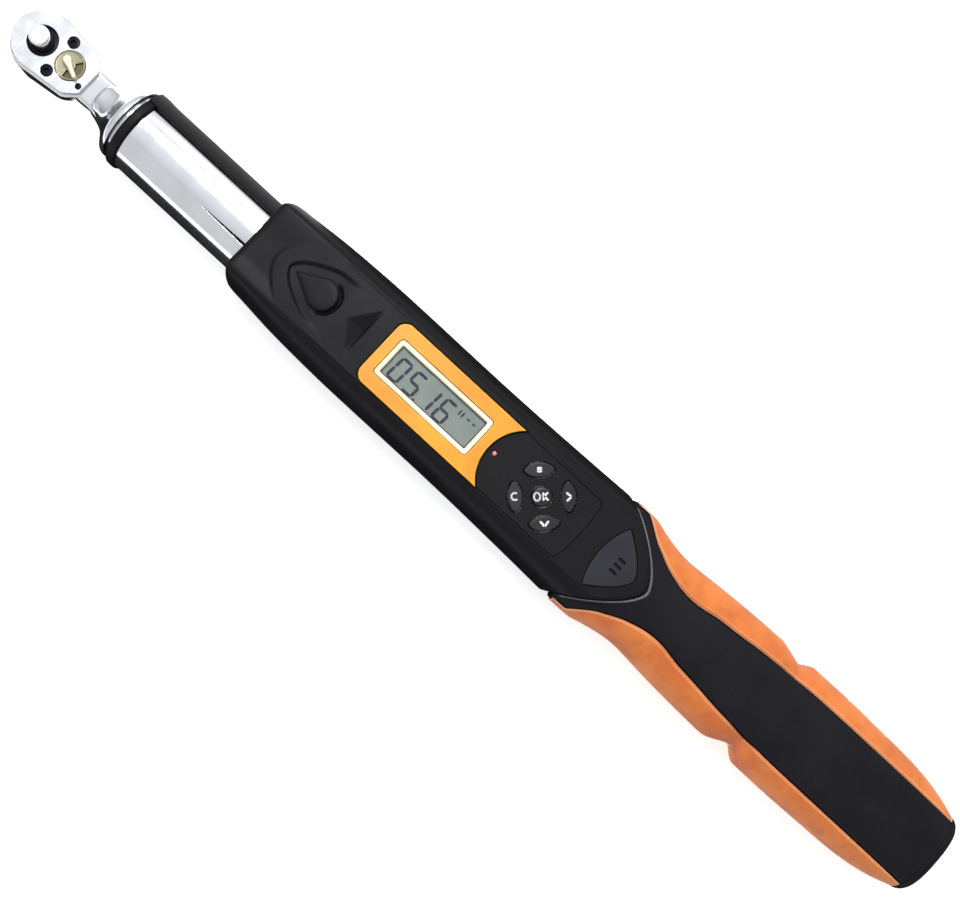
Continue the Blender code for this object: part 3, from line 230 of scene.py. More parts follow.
def rounded(points, closed=False, steps=4):
    """Corners given as (u, v, radius), each replaced by a small curve."""
    made = []
    count = len(points)
    for i, (u, v, radius) in enumerate(points):
        ends = (i == 0 or i == count - 1) and not closed
        if radius == 0 or ends:
            made.append((u, v))
            continue
        corner = Vector((u, v))
        sides = [Vector(points[j % count][:2]) - corner for j in (i - 1, i + 1)]
        first, last = (corner + side.normalized() * min(radius, side.length * 0.49) for side in sides)
        for k in range(steps + 1):
            t = k / steps
            made.append(tuple((1 - t)**2 * first + 2 * t * (1 - t) * corner + t * t * last))
    return made


# ---------------------------------------------------------------- meshes

def mesh_object(name, verts, faces):
    mesh = bpy.data.meshes.new(name)
    mesh.from_pydata([Vector(v) * MM for v in verts], [], faces)
    bm = bmesh.new()
    bm.from_mesh(mesh)
    bmesh.ops.recalc_face_normals(bm, faces=bm.faces)
    bm.to_mesh(mesh)
    bm.free()
    obj = bpy.data.objects.new(name, mesh)
    bpy.context.scene.collection.objects.link(obj)
    return obj


def loft(name, rings, hollow=False):
    """A body through rings of equally many points. A hollow one joins its last ring to its first."""
    count, rows = len(rings[0]), len(rings)
    verts = [point for ring in rings for point in ring]
    faces = []
    for row in range(rows if hollow else rows - 1):
        here, there = row * count, (row + 1) % rows * count
        for i in range(count):
            j = (i + 1) % count
            faces.append((here + i, here + j, there + j, there + i))
    if not hollow:
        faces.append(tuple(range(count)))
        faces.append(tuple(range(len(verts) - count, len(verts))))
    return mesh_object(name, verts, faces)


def plate(name, outline, low, high):
    return loft(name, [[(x, y, z) for x, y in outline] for z in (low, high)])


def turned(name, profile, axis="Z", centre=(0.0, 0.0), segments=64, hollow=False):
    """A profile of (radius, place on the axis), turned about it. centre is (x, y) for Z, (y, z) for X."""
    rings = []
    for radius, place in profile:
        ring = arc(centre, radius, 0, 360 - 360 / segments, segments - 1)
        rings.append([(place, u, v) if axis == "X" else (u, v, place) for u, v in ring])
    return loft(name, rings, hollow)


def cylinder(radius, start, end, axis="Z", centre=(0.0, 0.0), segments=48):
    return turned("cutter", [(radius, start), (radius, end)], axis, centre, segments)


def box(low, high):
    (x0, y0, z0), (x1, y1, z1) = low, high
    return plate("cutter", [(x0, y0), (x1, y0), (x1, y1), (x0, y1)], z0, z1)


def bars(name, lines, width, low, high):
    """Flat bars with pointed ends along the lines, as one mesh."""
    verts, faces = [], []
    for start, end in lines:
        a, b = Vector(start), Vector(end)
        ahead = (b - a).normalized() * width / 2
        side = Vector((-ahead.y, ahead.x))
        outline = (a - ahead * 0.4, a + ahead * 0.6 + side, b - ahead * 0.6 + side, b + ahead * 0.4,
                   b - ahead * 0.6 - side, a + ahead * 0.6 - side)
        first, count = len(verts), len(outline)
        verts += [(*point, z) for z in (low, high) for point in outline]
        faces.append(tuple(first + i for i in range(count)))
        faces.append(tuple(first + count + i for i in range(count)))
        faces += [(first + i, first + (i + 1) % count, first + count + (i + 1) % count, first + count + i)
                  for i in range(count)]
    return mesh_object(name, verts, faces)


def apply_modifiers(obj):
    bpy.context.view_layer.update()
    graph = bpy.context.evaluated_depsgraph_get()
    made = bpy.data.meshes.new_from_object(obj.evaluated_get(graph))
    obj.modifiers.clear()
    obj.data = made
    return obj


def combine(target, operation, others):
    for other in others:
        modifier = target.modifiers.new(operation.lower(), "BOOLEAN")
        modifier.operation = operation
        modifier.object = other
    apply_modifiers(target)
    for other in others:
        bpy.data.objects.remove(other, do_unlink=True)
    return target


def cut(target, *others):
    return combine(target, "DIFFERENCE", others)


def join(target, *others):
    return combine(target, "UNION", others)


def bevel(obj, width, segments=3, angle_deg=35.0):
    modifier = obj.modifiers.new("bevel", "BEVEL")
    modifier.width = width * MM
    modifier.segments = segments
    modifier.limit_method = "ANGLE"
    modifier.angle_limit = math.radians(angle_deg)
    modifier.harden_normals = True
    return obj


def finish(obj, material, body="wrench_body", stands_for=(), sharp_deg=35.0):
    """Material, shading, body and slot of one piece, and the CAD nodes that it stands for."""
    obj.data.materials.clear()
    obj.data.materials.append(material)
    obj.data.shade_smooth()
    obj.data.set_sharp_from_angle(angle=math.radians(sharp_deg))
    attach(obj, body)
    if stands_for:
        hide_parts(*stands_for)
    return obj


# ---------------------------------------------------------------- materials

def linear(red, green, blue):
    """A display colour of 0 to 255 as linear light."""
    return tuple(((c / 255 + 0.055) / 1.055) ** 2.4 if c > 10 else c / 255 / 12.92
                 for c in (red, green, blue))


class Nodes:
    """A material's node tree and the few calls that fill it."""

    def __init__(self, name):
        self.material = bpy.data.materials.new(name)
        self.material.use_nodes = True
        self.tree = self.material.node_tree
        self.shader = self.tree.nodes["Principled BSDF"]
        self.place = self.add("ShaderNodeTexCoord").outputs["Object"]

    def add(self, kind, settings=None, **inputs):
        """A node. Settings are attributes; inputs go by name, each a value or another node's output."""
        node = self.tree.nodes.new(kind)
        for key, value in (settings or {}).items():
            setattr(node, key, value)
        for key, value in inputs.items():
            self.put(node.inputs[key.replace("_", " ")], value)
        return node

    def put(self, socket, value):
        if isinstance(value, bpy.types.NodeSocket):
            self.tree.links.new(value, socket)
        elif isinstance(value, tuple) and len(value) == 3 and len(socket.default_value) == 4:
            socket.default_value = (*value, 1.0)
        else:
            socket.default_value = value

    def noise(self, size_mm, detail=2.0, stretch=(1.0, 1.0, 1.0)):
        """Noise whose features are about this big, drawn out along the axes by stretch."""
        scale = tuple(1.0 / (size_mm * MM * s) for s in stretch)
        mapped = self.add("ShaderNodeMapping", Vector=self.place, Scale=scale)
        made = self.add("ShaderNodeTexNoise", Vector=mapped.outputs["Vector"], Scale=1.0, Detail=detail)
        return made.outputs["Fac"]

    def ranged(self, value, low, high, to_low, to_high):
        node = self.add("ShaderNodeMapRange", {"interpolation_type": "SMOOTHSTEP"}, Value=value)
        for key, number in (("From Min", low), ("From Max", high), ("To Min", to_low), ("To Max", to_high)):
            node.inputs[key].default_value = number
        return node.outputs["Result"]

    def mix(self, factor, first, second):
        node = self.add("ShaderNodeMix", {"data_type": "RGBA"})
        for socket, value in ((node.inputs[0], factor), (node.inputs[6], first), (node.inputs[7], second)):
            self.put(socket, value)
        return node.outputs[2]

    def maths(self, operation, first, second):
        node = self.add("ShaderNodeMath", {"operation": operation})
        self.put(node.inputs[0], first)
        self.put(node.inputs[1], second)
        return node.outputs["Value"]

    def round_normal(self, radius_mm):
        """The surface's normal with its edges rounded off."""
        return self.add("ShaderNodeBevel", {"samples": 4}, Radius=radius_mm * MM).outputs["Normal"]

    def edge_mask(self, radius_mm):
        """1 along edges and 0 on open surface."""
        soft = self.round_normal(radius_mm)
        plain = self.add("ShaderNodeNewGeometry").outputs["Normal"]
        node = self.add("ShaderNodeVectorMath", {"operation": "DOT_PRODUCT"})
        self.put(node.inputs[0], soft)
        self.put(node.inputs[1], plain)
        return self.ranged(node.outputs["Value"], 0.97, 0.8, 0.0, 1.0)

    def bump(self, height, depth_mm, normal):
        node = self.add("ShaderNodeBump", Height=height, Strength=1.0, Distance=depth_mm * MM, Normal=normal)
        return node.outputs["Normal"]

    def set(self, **inputs):
        for key, value in inputs.items():
            self.put(self.shader.inputs[key.replace("_", " ")], value)
        return self.material


def moulded(name, colour, roughness, grain_mm=0.35, grain_depth=0.02, gloss=0.1, edge_wear_and_highlight=0.35, edge_mm=0.5):
    """Moulded plastic with a fine spark-eroded grain, uneven tone and paler edges, partly from rubbing and
    partly a painted highlight.
    """
    n = Nodes(name)
    cloud = n.noise(14.0, 3.0)
    dark, light = tuple(c * 0.88 for c in colour), tuple(c * 1.12 for c in colour)
    tone = n.mix(n.ranged(cloud, 0.3, 0.7, 0.0, 1.0), dark, light)
    # Paler edges: partly rubbing, partly a painted highlight where edges catch light; the stronger the
    # setting, the more it is painted highlight.
    worn_and_lit_edges = n.maths("MULTIPLY", n.edge_mask(edge_mm), n.ranged(n.noise(3.0, 4.0), 0.35, 0.7, 0.0, edge_wear_and_highlight))
    pale = tuple(min(1.0, c * 1.7 + 0.02) for c in colour)
    grain = n.noise(grain_mm, 2.0)
    rough = n.ranged(cloud, 0.25, 0.75, roughness - 0.05, roughness + 0.07)
    normal = n.bump(grain, grain_depth, n.round_normal(0.25))
    return n.set(Base_Color=n.mix(worn_and_lit_edges, tone, pale), Roughness=rough, Normal=normal,
                 Specular_IOR_Level=gloss)


def metal(name, colour, roughness, stretch=(1.0, 1.0, 1.0), brush_mm=0.25, brush_depth=0.0015):
    """Plated or ground metal: drawn-out grinding marks, faint smears and bright rounded edges."""
    n = Nodes(name)
    marks = n.noise(brush_mm, 3.0, stretch)
    smears = n.noise(9.0, 4.0)
    tone = n.mix(n.ranged(smears, 0.3, 0.7, 0.0, 1.0), tuple(c * 0.93 for c in colour), colour)
    unevenness = n.maths("ADD", smears, n.maths("MULTIPLY", marks, 0.4))
    rough = n.ranged(unevenness, 0.5, 0.95, roughness * 0.8, roughness * 1.35)
    normal = n.bump(marks, brush_depth, n.round_normal(0.3))
    return n.set(Base_Color=tone, Roughness=rough, Normal=normal, Metallic=1.0)


def grip_rubber():
    """Soft orange overmould: fine pitted grain, handling marks, a little sheen and a painted highlight along
    its edges.
    """
    n = Nodes("grip_rubber")
    light, deep = linear(222, 124, 52), linear(204, 102, 36)
    cloud = n.noise(11.0, 4.0)
    tone = n.mix(n.ranged(cloud, 0.32, 0.68, 0.0, 1.0), deep, light)
    grime = n.ranged(n.noise(4.0, 5.0), 0.52, 0.72, 0.0, 0.22)
    tone = n.mix(grime, tone, linear(150, 78, 34))
    # Painted highlight: the rolled edges are tinted pale as if catching light.
    tone = n.mix(n.maths("MULTIPLY", n.edge_mask(1.1), 0.85), tone, linear(252, 206, 164))
    pits = n.noise(0.45, 3.0)
    normal = n.bump(pits, 0.035, n.round_normal(0.35))
    rough = n.ranged(cloud, 0.3, 0.7, 0.52, 0.66)
    return n.set(Base_Color=tone, Roughness=rough, Normal=normal, Specular_IOR_Level=0.35,
                 Sheen_Weight=0.15, Sheen_Roughness=0.5)


def lcd_face():
    """The display's grey-green film, a shade uneven, with a faint fine mesh under the glass."""
    n = Nodes("lcd_face")
    cloud = n.noise(8.0, 2.0)
    tone = n.mix(n.ranged(cloud, 0.3, 0.7, 0.0, 1.0), linear(134, 144, 138), linear(146, 155, 149))
    mesh = n.noise(0.12, 0.0)
    tone = n.mix(n.ranged(mesh, 0.3, 0.7, 0.0, 0.12), tone, linear(120, 130, 126))
    return n.set(Base_Color=tone, Roughness=n.ranged(cloud, 0.3, 0.7, 0.3, 0.4), Specular_IOR_Level=0.3)


def clear_window():
    """Thin clear plastic: it lets light straight through and mirrors a little, with faint smudges."""
    n = Nodes("clear_window")
    tree = n.tree
    see = n.add("ShaderNodeBsdfTransparent", Color=(0.97, 0.985, 0.98, 1.0))
    smudge = n.ranged(n.noise(6.0, 3.0), 0.45, 0.7, 0.03, 0.16)
    shine = n.add("ShaderNodeBsdfGlossy", Roughness=smudge)
    facing = n.add("ShaderNodeFresnel", IOR=1.45)
    mixed = n.add("ShaderNodeMixShader")
    tree.links.new(facing.outputs["Fac"], mixed.inputs[0])
    tree.links.new(see.outputs["BSDF"], mixed.inputs[1])
    tree.links.new(shine.outputs["BSDF"], mixed.inputs[2])
    tree.links.new(mixed.outputs["Shader"], tree.nodes["Material Output"].inputs["Surface"])
    return n.material


def lamp_red():
    n = Nodes("lamp_red")
    cloud = n.noise(0.8, 2.0)
    tone = n.mix(n.ranged(cloud, 0.3, 0.7, 0.0, 1.0), (0.62, 0.08, 0.1), (0.85, 0.3, 0.32))
    return n.set(Base_Color=tone, Roughness=n.ranged(cloud, 0.3, 0.7, 0.15, 0.25), Coat_Weight=0.5,
                 Emission_Color=(0.9, 0.2, 0.2), Emission_Strength=0.2)


def floor_paint():
    """A pale sheet that glows a little, as a light table does."""
    n = Nodes("floor_paint")
    cloud = n.noise(120.0, 3.0)
    tone = n.mix(n.ranged(cloud, 0.3, 0.7, 0.0, 1.0), (0.87, 0.87, 0.87), (0.89, 0.89, 0.89))
    return n.set(Base_Color=tone, Roughness=n.ranged(cloud, 0.3, 0.7, 0.75, 0.85), Specular_IOR_Level=0.1,
                 Emission_Color=(1.0, 1.0, 1.0), Emission_Strength=FLOOR_GLOW)


LOOKS = {
    "bright_chrome": metal("button_plate", (0.95, 0.955, 0.96), 0.14, (1.0, 1.0, 1.0), 0.5, 0.001),
    "chrome": metal("chrome_plate", (0.76, 0.775, 0.80), 0.11, (1.0, 1.0, 1.0), 0.6, 0.0012),
    "satin_chrome": metal("satin_chrome_plate", (0.66, 0.68, 0.71), 0.26, (1.0, 30.0, 1.0), 0.22, 0.002),
    "black_steel": metal("blackened_steel", (0.012, 0.012, 0.015), 0.38, (1.0, 1.0, 1.0), 0.3, 0.003),
    "spring_steel": metal("spring_steel_bare", (0.55, 0.56, 0.58), 0.28, (6.0, 1.0, 1.0), 0.3, 0.003),
    "lever_brass": metal("lever_disc_brass", (0.27, 0.255, 0.17), 0.36, (1.0, 1.0, 1.0), 0.4, 0.004),
    "ridge_brass": metal("lever_ridge_brass", (0.56, 0.54, 0.39), 0.34, (1.0, 1.0, 1.0), 0.4, 0.003),
    # Dark bronze for the plates that paint shade into the lever's pockets.
    "lever_shade": metal("lever_recess_painted_shade", (0.12, 0.095, 0.05), 0.42, (1.0, 1.0, 1.0), 0.3, 0.004),
    "gauge_foil": metal("gauge_foil_copper", (0.75, 0.55, 0.22), 0.4),
    "cell_silver": metal("cell_jacket", (0.62, 0.62, 0.60), 0.3, (20.0, 1.0, 1.0)),
    "collar_black": moulded("collar_plastic", linear(25, 24, 28), 0.42, 0.3, 0.012),
    "housing_black": moulded("housing_plastic", linear(18, 18, 21), 0.4, 0.32, 0.014, gloss=0.12),
    # The tail rim's pale grey and its paled edges are a painted highlight.
    "rim_grey": moulded("tail_rim_painted_highlight", linear(92, 93, 98), 0.28, 0.4, 0.006, gloss=0.5, edge_wear_and_highlight=0.8),
    "core_black": moulded("core_plastic", linear(24, 24, 29), 0.52, 0.45, 0.03),
    "cap_black": moulded("cap_plastic", linear(22, 22, 26), 0.5, 0.45, 0.025),
    "keypad_rubber": moulded("keypad_skin", linear(25, 24, 28), 0.48, 0.25, 0.008),
    "key_black": moulded("key_plastic", linear(26, 26, 30), 0.26, 0.3, 0.006, gloss=0.35),
    "panel_grey": moulded("panel_plastic", linear(48, 48, 54), 0.4, 0.3, 0.01),
    # The bezel's broad, strongly paled edges are a painted highlight.
    "bezel_amber": moulded("bezel_plastic", linear(238, 158, 38), 0.32, 0.5, 0.004, gloss=0.3, edge_wear_and_highlight=2.0,
                           edge_mm=1.1),
    "frame_white": moulded("frame_plastic", linear(250, 240, 216), 0.4, 0.3, 0.004, edge_wear_and_highlight=0.1),
    "board_green": moulded("board_laminate", (0.02, 0.16, 0.06), 0.4, 0.8, 0.01),
    "lead_red": moulded("lead_sheath", (0.5, 0.03, 0.03), 0.45),
    "legend_white": moulded("legend_ink", linear(240, 240, 240), 0.5, 0.15, 0.002, edge_wear_and_highlight=0.0),
    "digit_ink": moulded("digit_ink", linear(28, 30, 56), 0.4, 0.2, 0.001, edge_wear_and_highlight=0.0),
    "grip_orange": grip_rubber(),
    "lcd_glass": lcd_face(),
    "window_clear": clear_window(),
    "led_red": lamp_red(),
}


# ---------------------------------------------------------------- ratchet head

def head_outline(inset=0.0, shift=0.0):
    """Round nose, slightly tapering sides and a chamfered end, which shift moves towards the nose."""
    radius = NOSE_RADIUS - inset
    nose = [(x, y, 0.0) for x, y in arc((0.0, 0.0), radius, 180, 78, 30)]
    shoulder = (HEAD_SHOULDER[0] - inset * 0.4 - shift, HEAD_SHOULDER[1] - inset, 0.9 + 0.6 * shift)
    end = (HEAD_END[0] - inset - shift, HEAD_END[1] - inset * 0.4, 0.5 + 0.15 * shift)
    return mirrored(rounded(nose + [shoulder, end, (end[0], 0.0, 0.0)]))


def head_body(low, top):
    """The forging's head: eased edges above and below, and a back that slopes in under the face."""
    levels = [(low, 0.9), (low + 0.25, 0.45), (low + 0.6, 0.15), (low + 1.1, 0.0)]
    levels += [(z, 0.0) for z in spread(low + 2.5, top - 1.6, 1.2)]
    levels += [(top - 1.2 * (1.0 - math.sin(a)), 1.2 * (1.0 - math.cos(a)))
               for a in (math.radians(18.0 * i) for i in range(6))]
    rings = []
    for z, inset in levels:
        shift = HEAD_UNDERCUT * (top - z) / (top - low)
        rings.append([(x, y, z) for x, y in head_outline(inset, shift)])
    return loft("forged_head", rings)


def make_forging():
    """The forged head, its neck and the flare behind it, opened for the gear, the pawl and the drive."""
    top = COVER_LOW.z - HEAD_GAP
    forging = head_body(HEAD_LOW, top)
    widths = ((15.0, 6.3), (20.0, 6.1), (24.0, 6.0), (27.0, 6.4), (30.0, 7.4), (33.0, 8.2))
    rings = []
    for x in spread(15.0, 33.0, 0.75):
        section = rounded_box(-along(widths, x), along(widths, x), 9.6, 19.2, 1.7)
        rings.append([(x, y, z) for y, z in section])
    flare_profile = rounded([(5.9, 24.2, 0), (6.4, 25.0, 0.6), (6.9, 27.2, 1.0), (8.4, 31.2, 2.0),
                             (12.9, 34.9, 1.4), (13.2, 36.9, 0.5), (11.3, 37.0, 0), (11.3, 60.0, 0)])
    flare = turned("flare", flare_profile, "X", (0.0, AXIS_Z), 96)
    join(forging, loft("neck", rings), flare)
    bowl = [(0.9, -1.0), (0.98, -0.8), (1.0, -0.1), (0.94, 0.3), (0.7, 0.7), (0.35, 0.93)]
    scallop = turned("scallop", bowl, segments=48)
    scallop.data.transform(Matrix.Translation(Vector((27.4, -0.3, 23.6)) * MM)
                           @ Matrix.Diagonal((2.3, 4.7, -3.0, 1.0)))
    cut(forging, scallop,
        cylinder(GEAR_TIP + 0.4, GEAR_LOW - GAP, 25.0, segments=72),
        cylinder(DRIVE_HOLE_RADIUS, 5.0, GEAR_LOW, segments=72),
        cylinder(4.4, 11.6, 25.0, centre=(LEVER_X, 0.0)),
        box((6.0, -3.9, 11.6), (LEVER_X, 3.9, 25.0)))
    finish(forging, LOOKS["chrome"], stands_for=["head_forging"], sharp_deg=28)


def make_cover():
    """The ground plate over the mechanism, its two screws and the dot that marks one lever position."""
    low, top = COVER_LOW.z, COVER_HIGH.z
    cover = plate("head_plate", head_outline(COVER_INSET), low, top)
    holes = [cylinder(DRIVE_HOLE_RADIUS, low - 1, top + 1, segments=72),
             cylinder(LEVER_DISC_RADIUS + 0.2, low - 1, top + 1, centre=(LEVER_X, 0.0), segments=64),
             cylinder(INDEX_RADIUS, top - 0.7, top + 1, centre=(INDEX_X, INDEX_Y), segments=32)]
    for side in (1, -1):
        holes.append(cylinder(2.05, low - 1, top + 1, centre=(COVER_SCREW_X, side * COVER_SCREW_Y)))
    cut(cover, *holes)
    bevel(cover, 0.28, 3)
    finish(cover, LOOKS["satin_chrome"], stands_for=["head_cover_plate"])
    dot_profile = [(INDEX_RADIUS - 0.05, top - 0.72), (INDEX_RADIUS - 0.05, top - 0.5), (0.3, top - 0.42)]
    dot = turned("index_dot", dot_profile, centre=(INDEX_X, INDEX_Y), segments=32)
    finish(dot, LOOKS["black_steel"])
    for side, word in ((1, "left"), (-1, "right")):
        centre = (COVER_SCREW_X, side * COVER_SCREW_Y)
        profile = rounded([(0.85, 13.4, 0), (0.85, top - 1.4, 0), (1.92, top - 1.4, 0),
                           (1.92, top - 0.25, 0.3), (0.4, top - 0.15, 0)])
        screw = turned("plate_screw_" + word, profile, centre=centre, segments=48)
        cut(screw, cylinder(0.95, top - 1.1, top + 1, centre=centre, segments=6))
        finish(screw, LOOKS["black_steel"], stands_for=["cover_screw_" + word])


def gear_outline():
    points = []
    for tooth in range(GEAR_TEETH):
        step = 360.0 / GEAR_TEETH
        for radius, share in ((GEAR_TIP, -0.08), (GEAR_TIP, 0.08), (GEAR_ROOT, 0.45), (GEAR_ROOT, 0.55)):
            points.append(turn((radius, 0.0), (0.0, 0.0), (tooth + share) * step))
    return points


def make_drive():
    """The toothed drive with its square, the release button down its middle and the ball in the square."""
    gear = plate("ratchet_wheel", gear_outline(), GEAR_LOW, GEAR_TOP)
    crown = turned("crown", rounded([(4.7, GEAR_TOP - 0.5, 0), (4.7, 19.9, 0.25), (3.5, 19.9, 0)]))
    join(gear, crown)
    cut(gear, cylinder(BUTTON_RADIUS + 0.15, 12.6, 25.0))
    bevel(gear, 0.12, 2)
    finish(gear, LOOKS["black_steel"], "drive", ["ratchet_gear"])
    square_outline = rounded_box(-DRIVE_HALF, DRIVE_HALF, -DRIVE_HALF, DRIVE_HALF, 0.55)
    square = plate("drive_square", square_outline, 0.0, 10.0)
    bevel(square, 0.45, 3)
    apply_modifiers(square)
    boss = turned("boss", rounded([(2.0, 8.2, 0), (4.3, 8.2, 0), (5.0, 8.7, 0.3), (5.0, 12.0, 0)]))
    join(square, boss)
    cut(square, cylinder(1.1, -DRIVE_HALF - 1, 0.5, "X", (0.0, BALL_Z), 32),
        cylinder(1.75, 0.9, 13.0, segments=32))
    finish(square, LOOKS["chrome"], "drive", sharp_deg=30)
    profile = rounded([(1.5, 3.2, 0.3), (1.5, 4.4, 0), (0.8, 5.9, 0), (0.8, 7.4, 0), (1.5, 7.4, 0),
                       (1.5, 16.4, 0), (BUTTON_RADIUS, 16.4, 0), (BUTTON_RADIUS, BUTTON_TOP - 0.1, 0.6),
                       (BUTTON_RADIUS - 1.4, BUTTON_TOP, 0.5), (0.4, BUTTON_TOP - 0.12, 0)], steps=6)
    button = turned("thumb_button", profile)
    finish(button, LOOKS["bright_chrome"], "release", ["release_button"])
    ball = arc((0.0, 0.0), 1.0, -88, 88, 20)
    low, high = span("detent_ball")
    pip = turned("grip_ball", [(u, (low.x + high.x) / 2 + v) for u, v in ball], "X", (0.0, BALL_Z), 32)
    finish(pip, LOOKS["chrome"], "detent", ["detent_ball"])


def make_lever():
    """The reversing lever: a disc with two pockets, dark plates in them as painted shade, and a raised thumb
    ridge that ends in a pointer.
    """
    centre = (LEVER_X, 0.0)
    profile = rounded([(2.2, 12.0, 0), (2.2, 19.7, 0), (LEVER_DISC_RADIUS, 19.7, 0),
                       (LEVER_DISC_RADIUS, 21.2, 0.3), (4.4, 21.25, 0.2), (4.2, 21.15, 0.1), (0.6, 21.15, 0)])
    disc = turned("lever_disc", profile, centre=centre)
    pockets = []
    for word, first, last in (("left", 14.0, 84.0), ("right", -58.0, -16.0)):
        outline = arc(centre, 4.1, LEVER_REST_DEG + first, LEVER_REST_DEG + last, 16)
        outline += arc(centre, 1.7, LEVER_REST_DEG + last, LEVER_REST_DEG + first, 10)
        pockets.append(plate("cutter", outline, 20.3, 22.0))
        # A dark plate at each pocket's floor is painted shade.
        shade = plate("lever_pocket_painted_shade_" + word, outline, 20.25, 20.35)
        finish(shade, LOOKS["lever_shade"], "lever")
    cut(disc, *pockets)
    finish(disc, LOOKS["lever_brass"], "lever", ["reversing_lever"])
    half = arc((-1.5, 0.0), 1.55, 180, 62, 14) + [(1.0, 0.95), (4.6, 0.8), (5.45, 0.0)]
    outline = [turn((LEVER_X + x, y), centre, LEVER_REST_DEG) for x, y in mirrored(half)]
    ridge = plate("lever_thumb_ridge", outline, 20.9, 23.38)
    bevel(ridge, 0.5, 4)
    finish(ridge, LOOKS["ridge_brass"], "lever")


# ---------------------------------------------------------------- tube and collar

def on_circle(radius, degrees):
    angle = math.radians(degrees)
    return (radius * math.cos(angle), radius * math.sin(angle))


def rail_section():
    """The rail's section in y and z, a band of pipe wall with rounded edges."""
    inner, outer = TUBE_RADIUS + GAP, RAIL_RADIUS
    middle = (RAIL_FROM_DEG + RAIL_TO_DEG) / 2
    half = (RAIL_TO_DEG - RAIL_FROM_DEG) / 2
    points = [(*on_circle(outer, middle + half * s), 0.0) for s in spread(-0.9, 0.9, 0.12)]
    points += [(*on_circle(outer, middle + half), 0.5), (*on_circle(inner, middle + half), 0.1)]
    points += [(*on_circle(inner, middle - half * s), 0.0) for s in spread(-0.9, 0.9, 0.3)]
    points += [(*on_circle(inner, middle - half), 0.1), (*on_circle(outer, middle - half), 0.5)]
    return rounded(points, closed=True)


def make_collar():
    inner = 11.6
    front = COLLAR_START + 0.6
    profile = rounded([(inner, front, 0.2), (COLLAR_RADIUS, front, 0.8), (COLLAR_RADIUS, COLLAR_END, 0.8),
                       (inner, COLLAR_END, 0.2)], closed=True)
    ring = turned("neck_collar", profile, "X", (0.0, AXIS_Z), 128, hollow=True)
    finish(ring, LOOKS["collar_black"], stands_for=["tube_collar"])
    rings = []
    for x in spread(COLLAR_START + 1.0, 46.0, 0.5) + spread(47.0, HOUSING_START + 4.0, 1.0):
        swell = 1.0 + 0.012 * smooth(46.0 - x, 0.0, 4.0)
        rings.append([(x, y * swell, AXIS_Z + z * swell) for y, z in rail_section()])
    finish(loft("side_rail", rings), LOOKS["collar_black"])


def make_tube():
    """The plated tube, with the thin tapering slit that runs out from under the housing."""
    inner = TUBE_RADIUS - TUBE_WALL
    start = COLLAR_END + 0.1
    profile = [(TUBE_RADIUS, TUBE_HIGH.x), (TUBE_RADIUS, 75.0), (TUBE_RADIUS, start + 0.3),
               (TUBE_RADIUS - 0.3, start), (inner, start), (inner, TUBE_HIGH.x)]
    tube = turned("plated_tube", profile, "X", (0.0, AXIS_Z), 160, hollow=True)
    about_axis = Matrix.Rotation(math.radians(SLIT_ANGLE_DEG), 4, "X")
    place = Matrix.Translation((0.0, 0.0, AXIS_Z * MM)) @ about_axis
    wedge = [(74.0, -0.1), (95.0, -0.62), (95.0, 0.62), (74.0, 0.1)]
    slit = plate("slit", wedge, TUBE_RADIUS - 0.8, TUBE_RADIUS + 1.0)
    slit.data.transform(place)
    cut(tube, slit)
    finish(tube, LOOKS["chrome"], stands_for=["chrome_tube"])
    seal = plate("slit_seal", wedge, TUBE_RADIUS - 0.75, TUBE_RADIUS - 0.3)
    seal.data.transform(place)
    finish(seal, LOOKS["collar_black"])


# ---------------------------------------------------------------- housing

def tail_x(y):
    return TAIL_TIP - TAIL_LENGTH * (abs(y) / TAIL_HALF) ** TAIL_POWER


def warped(x, y):
    """Where a station lies along the tool at y, so that the last one follows the pointed tail."""
    if x <= TAIL_FROM:
        return x
    return TAIL_FROM + (x - TAIL_FROM) * (tail_x(y) - TAIL_FROM) / (TAIL_TIP - TAIL_FROM)


def scoop_half(x):
    """Half the width of the recess around the teardrop."""
    if x <= SCOOP_NOSE:
        return 0.0
    bow = SCOOP_NOSE + 13.0
    if x < bow:
        return SCOOP_HALF * math.sqrt((x - SCOOP_NOSE) / 13.0)
    return SCOOP_HALF + (x - bow) / (SCOOP_END - bow) * 1.5


def face_carving(x, y):
    """How far the face is cut down at its front: a bowed ridge, the recess, its moat and the arrow."""
    across = abs(y)
    brow = x - (101.8 + 7.7 * (across / 10.5) ** 2)
    depth = 0.42 * smooth(-brow, -0.2, 1.0) * (1.0 - smooth(across, 0.0 if y > 0 else 7.0, 12.0))
    inside = scoop_half(x) - across
    fade = 1.0 - smooth(x, 119.0 if y > 0 else 114.0, 128.0)
    depth += SCOOP_DEPTH * smooth(inside, 0.0, 1.3) * fade
    moat = abs(math.hypot(x - PLUG_CENTRE, y) - PLUG_RADIUS - 0.35)
    depth += 1.1 * (1.0 - smooth(moat, 0.25, 0.9)) * smooth(x, PLUG_CENTRE + 1.0, PLUG_CENTRE + 4.0)
    arrow = (x - 130.4) - across * 0.735
    depth += 0.2 * max(0.0, arrow) * smooth(SCOOP_END - x, 0.0, 0.7)
    return depth


